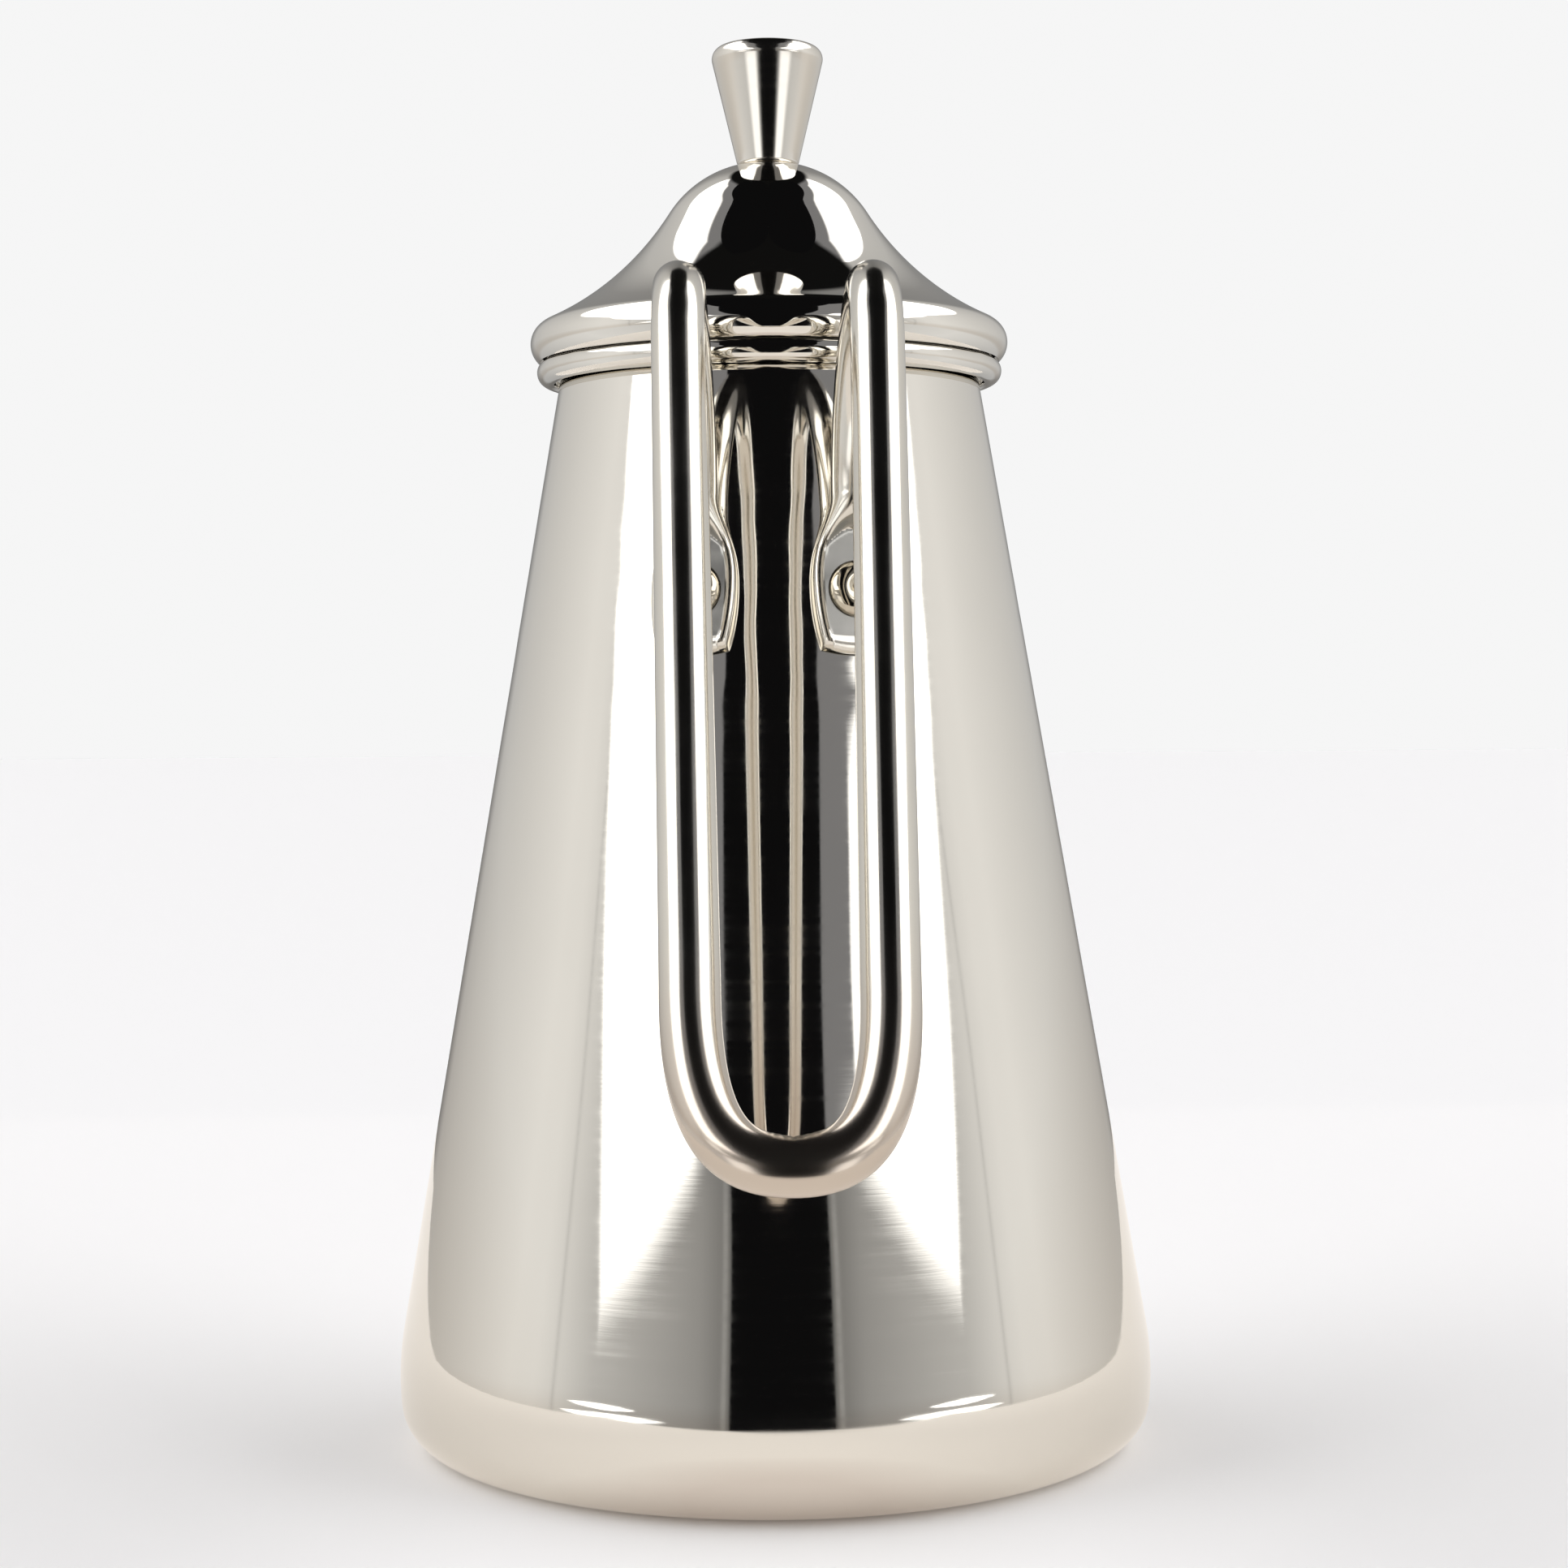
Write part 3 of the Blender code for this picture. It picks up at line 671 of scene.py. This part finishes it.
def tab_half_depth(height):
    """Half thickness: pressed flat on the tab, swelling to the round tube above it."""
    fade = smoothstep(5.5 * MM, ROD_START, height)
    return TAB_THICK / 2 + (TUBE_R - TAB_THICK / 2) * fade


def leg_point(top, x, down):
    """A point on the plane of the legs, down its slope from the top."""
    return Vector((x, top.y - down * sin(LEG_LEAN), top.z - down * cos(LEG_LEAN)))


def bezier(points, share):
    rest = 1 - share
    weights = (rest ** 3, 3 * rest ** 2 * share, 3 * rest * share ** 2, share ** 3)
    return tuple(sum(w * point[i] for w, point in zip(weights, points)) for i in (0, 1))


def handle_stations():
    """Half of the tube's centreline, from the +X tab to the middle of the U.

    Each station is (kind, centre, half width, half depth, across axis or None, height).
    """
    axes = tab_axes(1)
    across = axes.col[0].to_3d()
    stations = []
    steps = 66
    for i in range(steps + 1):
        height = -TAB_BELOW + (ROD_START + TAB_BELOW) * i / steps
        depth = tab_half_depth(height)
        centre = axes @ Vector((0, height, GAP + depth))
        stations.append(("tab", centre, tab_half_width(height), depth, across, height))
    start = stations[-1][1]
    apex_y, apex_z = BOW_APEX
    steps = 26
    for i in range(1, steps + 1):
        turn = radians(90) * i / steps
        centre = Vector((start.x + (LEG_TOP_X - start.x) * smoothstep(0, 1, i / steps),
                         apex_y + (start.y - apex_y) * cos(turn),
                         start.z + (apex_z - start.z) * sin(turn)))
        side = across.lerp(Vector((1, 0, 0)), i / steps)
        stations.append(("rod", centre, TUBE_R, TUBE_R, side, 0.0))
    steps = 16
    for i in range(1, steps + 1):
        turn = radians(90) - (radians(90) - LEG_LEAN) * i / steps
        centre = Vector((LEG_TOP_X, apex_y - BOW_R * cos(turn),
                         apex_z - BOW_R + BOW_R * sin(turn)))
        stations.append(("rod", centre, TUBE_R, TUBE_R, Vector((1, 0, 0)), 0.0))
    top = stations[-1][1]
    straight = LEG_LENGTH - U_HEIGHT
    steps = 30
    for i in range(1, steps + 1):
        x = LEG_TOP_X + (LEG_LOW_X - LEG_TOP_X) * i / steps
        stations.append(("rod", leg_point(top, x, straight * i / steps), TUBE_R, TUBE_R, None, 0.0))
    end = LEG_LENGTH - U_CUT
    bend = [(LEG_LOW_X, straight), (LEG_LOW_X, end - 4.6 * MM), (7.4 * MM, end), (0.0, end)]
    steps = 44
    for i in range(1, steps + 1):
        x, down = bezier(bend, i / steps)
        squeeze = 0.08 * MM * smoothstep(0, 1, i / steps)
        stations.append(("bend", leg_point(top, x, down), TUBE_R - squeeze,
                         TUBE_R + squeeze / 2, None, 0.0))
    return stations


def pocket_share(x, height):
    """1 on the sunk floor of a tab, 0 on its raised edge, with an arch at the top."""
    spring = 6.0 * MM
    reach = tab_half_width(min(height, spring)) - POCKET_RIM + 0.25 * MM
    rise = max(0.0, (height - spring) / (4.4 * MM))
    if rise >= 1:
        return 0.0
    edge = hypot(x / reach, rise)
    return 1 - smoothstep(0.93 - 0.34 * smoothstep(0, 0.5, rise), 1.0, edge)


def tab_point(centre, axes, half_w, half_d, across, out, height):
    """A point of the pressed tab, in world space."""
    x = half_w * across
    level = GAP + half_d + half_d * out
    if out > 0:
        floor = GAP + TAB_THICK - POCKET_DEPTH
        level += (floor - level) * pocket_share(x, height)
    lip = max(0.0, min(1.0, (-TAB_BELOW + TAB_LIP - height) / TAB_LIP))
    level = GAP + (level - GAP) * (0.3 + 0.7 * sqrt(1 - lip * lip))
    sag = 0.9 * MM * (1 - (x / half_w) ** 2) * smoothstep(-4 * MM, -TAB_BELOW, height)
    return axes @ Vector((x, height - sag, level))


def crumple(x, across):
    """How far the inside of the U is driven in where the tube buckled as it was bent."""
    inner = smoothstep(0.25, 0.95, -across)
    fold = 0.22 * MM * exp(-(x / (1.7 * MM)) ** 2)
    creases = 0.13 * MM * sin(2 * pi * (x / (1.15 * MM)) + 0.9) * exp(-(x / (2.6 * MM)) ** 2)
    return inner * (fold + creases)


def handle(polished, pressed):
    stations = handle_stations()
    leg_normal = Vector((0, cos(LEG_LEAN), -sin(LEG_LEAN)))
    centres = [station[1] for station in stations]
    axes = tab_axes(1)
    sides = 96
    half = []
    for i, (kind, centre, half_w, half_d, side, height) in enumerate(stations):
        before = centres[max(i - 1, 0)]
        after = centres[min(i + 1, len(centres) - 1)]
        tangent = (after - before).normalized()
        if i == len(stations) - 1:
            tangent = Vector((-1, 0, 0))
        if side is None:
            width_axis = tangent.cross(leg_normal).normalized()
            depth_axis = leg_normal
        else:
            width_axis = (side - tangent * side.dot(tangent)).normalized()
            depth_axis = width_axis.cross(tangent).normalized()
        flat = (TUBE_R - half_d) / (TUBE_R - TAB_THICK / 2) if kind == "tab" else 0.0
        power = 1.0 - 0.45 * flat
        ring = []
        for k in range(sides):
            angle = 2 * pi * k / sides
            across = abs(cos(angle)) ** power * (1 if cos(angle) >= 0 else -1)
            out = abs(sin(angle)) ** power * (1 if sin(angle) >= 0 else -1)
            if kind == "tab":
                point = tab_point(centre, axes, half_w, half_d, across, out, height)
            else:
                point = centre + width_axis * half_w * across + depth_axis * half_d * out
            if kind == "bend":
                point += width_axis * crumple(centre.x, across)
            if i == len(stations) - 1:
                point.x = 0.0
            ring.append(point)
        half.append(ring)
    flipped = [[Vector((-p.x, p.y, p.z)) for p in ring] for ring in half[-2::-1]]
    bm = bmesh.new()
    rings = [[bm.verts.new(p) for p in ring] for ring in half + flipped]
    for low, high in zip(rings, rings[1:]):
        strip(bm, low, high)
    for end in (rings[0], rings[-1]):
        for k in range(sides // 2):
            corners = [end[k], end[k + 1], end[sides - k - 1], end[(sides - k) % sides]]
            bm.faces.new(list(dict.fromkeys(corners)))
    floor = GAP + TAB_THICK - POCKET_DEPTH
    frames = [tab_axes(side).inverted() for side in (-1, 1)]
    for face in bm.faces:
        middle = face.calc_center_median()
        local = frames[int(middle.x > 0)] @ middle
        if abs(local.z - floor) < 0.12 * MM and -TAB_BELOW + 1.6 * MM < local.y < 13 * MM:
            face.material_index = 1
    piece = mesh_object("tube_handle", bm, [polished, pressed], sharp=radians(50))
    holes = bmesh.new()
    for side in (-1, 1):
        drill(holes, tab_axes(side), RIVET_R + 0.1 * MM, -5 * MM, 8 * MM)
    subtract(piece, holes)
    install(piece, "pot", "handle", "handle")


# ---------------------------------------------------------------- rivets

def rivet_height(r):
    """Height of the head: a dome with a dimple struck in the middle."""
    dome = (RIVET_HEAD_H + 0.25 * MM) * sqrt(max(0.0, 1 - (r / RIVET_HEAD_R) ** 2.4))
    return dome - 1.25 * MM * exp(-(r / (1.35 * MM)) ** 2)


def rivet(side, word, metal):
    seat = GAP + TAB_THICK - POCKET_DEPTH + 0.02 * MM
    tail = -BODY_WALL - 2 * GAP - 0.3 * MM - WASHER_H
    profile = [(0.0, tail - RIVET_TAIL_H)]
    profile += arc((RIVET_TAIL_R - 0.7 * MM, tail - RIVET_TAIL_H + 0.7 * MM), 0.7 * MM,
                   radians(-90), 0.0, 6)
    profile += [(RIVET_TAIL_R, tail), (RIVET_R, tail), (RIVET_R, seat), (RIVET_HEAD_R, seat)]
    for i in range(1, 49):
        angle = radians(90) * i / 48
        r = RIVET_HEAD_R * cos(angle)
        profile.append((max(r, 0.0), seat + rivet_height(r)))
    profile[-1] = (0.0, profile[-1][1])
    bm = turned(profile, steps=96)
    bm.transform(tab_axes(side))
    piece = mesh_object("domed_rivet_" + word, bm, [metal])
    install(piece, "pot", "rivets", "rivet_" + word)


# ---------------------------------------------------------------- small fixings

def knob_fixing(metal):
    """Slotted pan-head screw and its washer, which hold the knob from inside the lid."""
    washer_top = LID_SEAT_Z - LID_WALL - GAP
    washer_low = washer_top - WASHER_H
    edge = 0.15 * MM
    ring = [(SCREW_HOLE_R, washer_low + edge), (SCREW_HOLE_R + edge, washer_low),
            (WASHER_R - edge, washer_low), (WASHER_R, washer_low + edge),
            (WASHER_R, washer_top - edge), (WASHER_R - edge, washer_top),
            (SCREW_HOLE_R + edge, washer_top), (SCREW_HOLE_R, washer_top - edge)]
    washer = mesh_object("screw_washer", turned(ring, closed=True, steps=96), [metal])
    install(washer, "lid", "fixings", "knob_washer")

    head_top = washer_low - GAP
    head_low = head_top - SCREW_HEAD_H
    end = LID_SEAT_Z + SCREW_LENGTH
    profile = [(0.0, head_low), (SCREW_HEAD_R * 0.6, head_low)]
    profile += [(SCREW_HEAD_R * (0.6 + 0.4 * sin(radians(15 * i))),
                 head_low + SCREW_HEAD_H * 0.6 * (1 - cos(radians(15 * i)))) for i in range(1, 7)]
    profile += [(SCREW_HEAD_R, head_top), (SCREW_R, head_top)]
    thread_low = head_top + 1.6 * MM
    turns = int((end - 0.6 * MM - thread_low) / THREAD_PITCH)
    for i in range(turns):
        z = thread_low + i * THREAD_PITCH
        profile += [(SCREW_R - 0.28 * MM, z), (SCREW_R, z + THREAD_PITCH / 2)]
    profile += [(SCREW_R - 0.5 * MM, end), (0.0, end)]
    screw = mesh_object("slotted_screw", turned(profile, steps=96), [metal])
    slot = bmesh.new()
    bmesh.ops.create_cube(slot, size=1.0, matrix=Matrix.Translation((0, 0, head_low))
                          @ Matrix.Diagonal((9 * MM, 0.9 * MM, 1.8 * MM, 1)))
    subtract(screw, slot)
    install(screw, "lid", "fixings", "knob_screw")


def backing_washer(side, word, metal):
    """Domed washer between the wall and a rivet's upset tail, inside the pot."""
    top = -BODY_WALL - GAP - 0.3 * MM
    low = top - WASHER_H + GAP / 2
    edge = 0.18 * MM
    ring = [(RIVET_R + 0.1 * MM, low), (BACKING_R - 3 * edge, low), (BACKING_R - edge, low + edge),
            (BACKING_R, low + 2 * edge), (BACKING_R, top - edge), (BACKING_R - edge, top),
            (RIVET_R + 0.1 * MM, top)]
    bm = turned(ring, closed=True, steps=96)
    bm.transform(tab_axes(side))
    piece = mesh_object("backing_washer_" + word, bm, [metal])
    install(piece, "pot", "fixings", "rivet_washer_" + word)


# ---------------------------------------------------------------- studio

def studio_light():
    """White panels and a dark gap between them, laid out by compass angle and height.

    turn is the angle from the handle's side, 0 to 180 degrees either way, as 0 to 1. climb
    is the height above the horizon, 0 to 90 degrees, as 0 to 1.
    """
    world = bpy.data.worlds.new("studio")
    world.use_nodes = True
    tree = world.node_tree
    tree.nodes.clear()
    direction = add(tree, "ShaderNodeTexCoord").outputs["Generated"]
    aimed = add(tree, "ShaderNodeMapping", {"Vector": direction, "Rotation": (0, 0, STUDIO_TURN)})
    parts = add(tree, "ShaderNodeSeparateXYZ", {0: aimed.outputs[0]})
    toward = add(tree, "ShaderNodeMath", {0: parts.outputs[1], 1: -1.0}, operation="MULTIPLY")
    compass = add(tree, "ShaderNodeMath", {0: parts.outputs[0], 1: toward.outputs[0]},
                  operation="ARCTAN2")
    climb = add(tree, "ShaderNodeMath", {0: parts.outputs[2]}, operation="ARCSINE")
    climb = add(tree, "ShaderNodeMath", {0: climb.outputs[0], 1: 2 / pi}, operation="MULTIPLY")
    climb = climb.outputs[0]
    askew = add(tree, "ShaderNodeMapRange", {
        "Value": climb, "From Min": 8 / 90, "From Max": 15 / 90,
        "To Min": ASKEW, "To Max": 0.0}, interpolation_type="SMOOTHSTEP")
    compass = add(tree, "ShaderNodeMath", {0: compass.outputs[0], 1: askew.outputs[0]})
    compass = add(tree, "ShaderNodeMath", {0: compass.outputs[0]}, operation="ABSOLUTE")
    turn = add(tree, "ShaderNodeMath", {0: compass.outputs[0], 1: 1 / pi},
               operation="MULTIPLY").outputs[0]

    def beyond(value, limit, soft):
        """0 below a limit and 1 above it, over a soft edge."""
        past = add(tree, "ShaderNodeMath", {0: value, 1: limit}, operation="SUBTRACT")
        return add(tree, "ShaderNodeMapRange", {
            "Value": past.outputs[0], "From Min": -soft, "From Max": soft},
            interpolation_type="SMOOTHSTEP").outputs[0]

    def over(below, above, share):
        return add(tree, "ShaderNodeMix", {0: share, 6: below, 7: above},
                   data_type="RGBA").outputs[2]

    def outline(value, points, x_span, y_span):
        scaled = [(x / x_span, y / y_span) for x, y in points]
        return add(tree, "ShaderNodeFloatCurve", {"Value": value}, points=scaled).outputs[0]

    wall = outline(turn, WALL_LEVELS, 180, 1)
    wall = add(tree, "ShaderNodeVectorMath", {0: wall, 1: WALL_TINT},
               operation="MULTIPLY").outputs[0]
    horizon = add(tree, "ShaderNodeMapRange", {
        "Value": climb, "From Min": -4 / 90, "From Max": 4 / 90}).outputs[0]
    low_wall = add(tree, "ShaderNodeVectorMath", {0: wall, 1: LOW_WALL_TINT},
                   operation="MULTIPLY").outputs[0]
    light = over(low_wall, wall, horizon)

    below = outline(turn, LOW_LEVELS, 180, 2)
    below = add(tree, "ShaderNodeMath", {0: below, 1: 2.0}, operation="MULTIPLY").outputs[0]
    light = over(below, light, beyond(climb, -9 / 90, 2.5 / 90))
    panel = (PANEL_LIGHT, PANEL_LIGHT, PANEL_LIGHT, 1)
    for (glint_turn, glint_climb), (half_turn, half_climb) in GLINTS:
        wide = add(tree, "ShaderNodeMath", {0: turn, 1: 180 / half_turn,
                                            2: -glint_turn / half_turn},
                   operation="MULTIPLY_ADD")
        tall = add(tree, "ShaderNodeMath", {0: climb, 1: 90 / half_climb,
                                            2: -glint_climb / half_climb},
                   operation="MULTIPLY_ADD")
        wide = add(tree, "ShaderNodeMath", {0: wide.outputs[0], 1: wide.outputs[0]},
                   operation="MULTIPLY")
        tall = add(tree, "ShaderNodeMath", {0: tall.outputs[0]}, operation="ABSOLUTE")
        apart = add(tree, "ShaderNodeMath", {0: wide.outputs[0], 1: tall.outputs[0]})
        light = over(panel, light, beyond(apart.outputs[0], 1.0, 0.15))

    above_low = beyond(climb, outline(turn, PANEL_LOW, 180, 90), 1.0 / 90)
    above_high = beyond(climb, outline(turn, PANEL_HIGH, 180, 90), 1.2 / 90)
    light = over(light, panel, above_low)
    light = over(light, OVER_PANELS, above_high)
    top = beyond(climb, outline(turn, TOP_DARK, 180, 90), 2.0 / 90)
    light = over(light, TOP_BLACK, top)
    gap = outline(climb, GAP_HALF, 90, 180)
    light = over(GAP_BLACK, light, beyond(turn, gap, 0.5 / 180))

    seen = add(tree, "ShaderNodeLightPath").outputs["Is Camera Ray"]
    light = over(light, BACKDROP, seen)
    background = add(tree, "ShaderNodeBackground", {"Color": light, "Strength": 1.0})
    add(tree, "ShaderNodeOutputWorld", {"Surface": background.outputs[0]})
    bpy.context.scene.world = world


def card(name, corners, z, shaded_then_lit, glow):
    """A matt board with a little tooth: a painted shadow in its near colour by the pot, then its
    far colour.

    glow is the light of the lamps beside it, which the pot doesn't shade.
    """
    mesh = bpy.data.meshes.new(name)
    (x0, y0), (x1, y1) = corners
    mesh.from_pydata([(x0, y0, z), (x1, y0, z), (x1, y1, z), (x0, y1, z)], [], [(0, 1, 2, 3)])
    sheet = bpy.data.objects.new(name, mesh)
    bpy.context.collection.objects.link(sheet)
    material, tree, shader = new_material(name + "_board")
    shader.inputs["Roughness"].default_value = 0.85
    place = add(tree, "ShaderNodeTexCoord").outputs["Object"]
    tooth = add(tree, "ShaderNodeTexNoise", {"Vector": place, "Scale": 1 / (30 * MM),
                                             "Detail": 3.0})
    away = add(tree, "ShaderNodeVectorMath", {0: place, 1: SHADE_CENTRE},
               operation="DISTANCE")
    # Painted shadow: darkest within SHADE_FROM of SHADE_CENTRE, lit colour beyond SHADE_TO
    lit_share = add(tree, "ShaderNodeMapRange", {
        "Value": away.outputs["Value"], "From Min": SHADE_FROM, "From Max": SHADE_TO})
    lit_share = add(tree, "ShaderNodeMath", {0: tooth.outputs[0], 1: 0.06, 2: lit_share.outputs[0]},
                 operation="MULTIPLY_ADD")
    shade = add(tree, "ShaderNodeMix", {
        0: lit_share.outputs[0], 6: linear(shaded_then_lit[0]), 7: linear(shaded_then_lit[1])}, data_type="RGBA")
    tree.links.new(shade.outputs[2], shader.inputs["Emission Color"])
    shader.inputs["Emission Strength"].default_value = glow
    tree.links.new(shade.outputs[2], shader.inputs["Base Color"])
    mesh.materials.append(material)
    return sheet


def stage():
    floor = card("pale_floor", FLOOR, FLOOR_Z, FLOOR_SHADED_THEN_LIT, 0.0)
    floor.visible_glossy = False
    table = card("beige_table", TABLE, TABLE_Z, TABLE_SHADED_THEN_LIT, TABLE_GLOW)
    table.visible_camera = False
    table.visible_diffuse = False
    table.visible_shadow = False

    lamp = bpy.data.lights.new("overhead", "SUN")
    lamp.angle = OVERHEAD_ANGLE
    lamp.energy = OVERHEAD_STRENGTH
    overhead = bpy.data.objects.new("overhead", lamp)
    overhead.visible_glossy = False
    overhead.visible_camera = False
    bpy.context.collection.objects.link(overhead)


def camera():
    lens = bpy.data.cameras.new("camera")
    lens.sensor_width = SENSOR
    lens.lens = LENS
    heading, tilt, roll = CAMERA_HEADING, CAMERA_TILT, CAMERA_ROLL
    forward = Vector((sin(heading) * cos(tilt), cos(heading) * cos(tilt), -sin(tilt)))
    level = Vector((cos(heading), -sin(heading), 0))
    upright = level.cross(forward)
    right = level * cos(roll) + upright * sin(roll)
    up = upright * cos(roll) - level * sin(roll)
    view = bpy.data.objects.new("camera", lens)
    view.matrix_world = Matrix.Translation(CAMERA_PLACE) @ Matrix(
        (right, up, -forward)).transposed().to_4x4()
    bpy.context.collection.objects.link(view)
    bpy.context.scene.camera = view


# ---------------------------------------------------------------- assembly

LATHE_LINE = 0.42 * MM

# The polishing lines and the grain of every steel here are drawn two to three times coarser
# than the real 0.1 to 0.3 mm, so that they show.

# Deep-drawn 18/10 stainless steel, buffed on the lathe: a soft mirror with fine hairlines
# running round it, and the slow waves that spinning leaves.
body_steel = steel("lathe_buffed_stainless_body", "E6E2DA", 0.05, 0.03, LATHE_LINE,
                   0.0009 * MM, 16 * MM, 0.005 * MM)
# The same steel buffed harder: the clearest mirror on the pot.
lid_steel = steel("mirror_buffed_stainless_lid", "E6E2DA", 0.03, 0.01, LATHE_LINE,
                  0.00012 * MM, 14 * MM, 0.002 * MM)
# Pressed stainless sheet buffed by hand up and down the beak.
spout_steel = steel("hand_buffed_stainless_spout", "E6E2DA", 0.12, 0.03, 0.5 * MM,
                    0.0002 * MM, 13 * MM, 0.004 * MM, line_axis="X")
# Stainless tube polished on a belt: streaks along it and a grainier, duller shine.
tube_steel = steel("belt_polished_stainless_tube", "E4DFD5", 0.15, 0.05, 0.6 * MM,
                   0.0004 * MM, 7 * MM, 0.004 * MM, line_axis="X", turn=-LEG_LEAN,
                   mottling=0.07, grain=(0.5 * MM, 0.0009 * MM),
                   # Rougher and darker in colour down the lower legs and the U
                   dulled=(92 * MM, 64 * MM, 0.2, "CABEB1"))
# The tabs' floors keep the press's dull grey, blotched where the belt never reached.
pressed_steel = steel("press_dulled_stainless_tab", "A3A19C", 0.2, 0.09, 1.4 * MM,
                      0.0012 * MM, 3 * MM, 0.006 * MM, mottling=0.35, grain=(0.5 * MM, 0.0007 * MM))
# Turned and tumbled stainless bar: bright, with a faint even tooth.
knob_steel = steel("turned_stainless_knob", "E4DFD6", 0.13, 0.03, 0.3 * MM,
                   0.0002 * MM, 9 * MM, 0.002 * MM, grain=(0.4 * MM, 0.0004 * MM))
# Softer rivet wire with hammer-struck heads, warmer and darker in colour than the body's steel.
rivet_steel = steel("cold_headed_rivet_steel", "C9C0AE", 0.1, 0.04, 0.5 * MM,
                    0.0004 * MM, 3 * MM, 0.006 * MM, mottling=0.1)
# Left as spun: a satin grey that shows the tool's rings.
inside_steel = steel("satin_spun_stainless_inside", "D2CFC9", 0.34, 0.05, 0.7 * MM,
                     0.0012 * MM, 20 * MM, 0.004 * MM)
# Machined stainless fixings, a little dulled by washing.
fixing_steel = steel("machined_stainless_fixings", "CFCBC2", 0.28, 0.06, 0.35 * MM,
                     0.0006 * MM, 4 * MM, 0.002 * MM, mottling=0.08)

body(body_steel, inside_steel)
spout(spout_steel, inside_steel)
lid(lid_steel, inside_steel)
collar(inside_steel)
knob(knob_steel)
knob_fixing(fixing_steel)
handle(tube_steel, pressed_steel)
for side, word in ((-1, "left"), (1, "right")):
    rivet(side, word, rivet_steel)
    backing_washer(side, word, fixing_steel)

studio_light()
stage()
camera()
bpy.context.scene.view_settings.view_transform = "Standard"
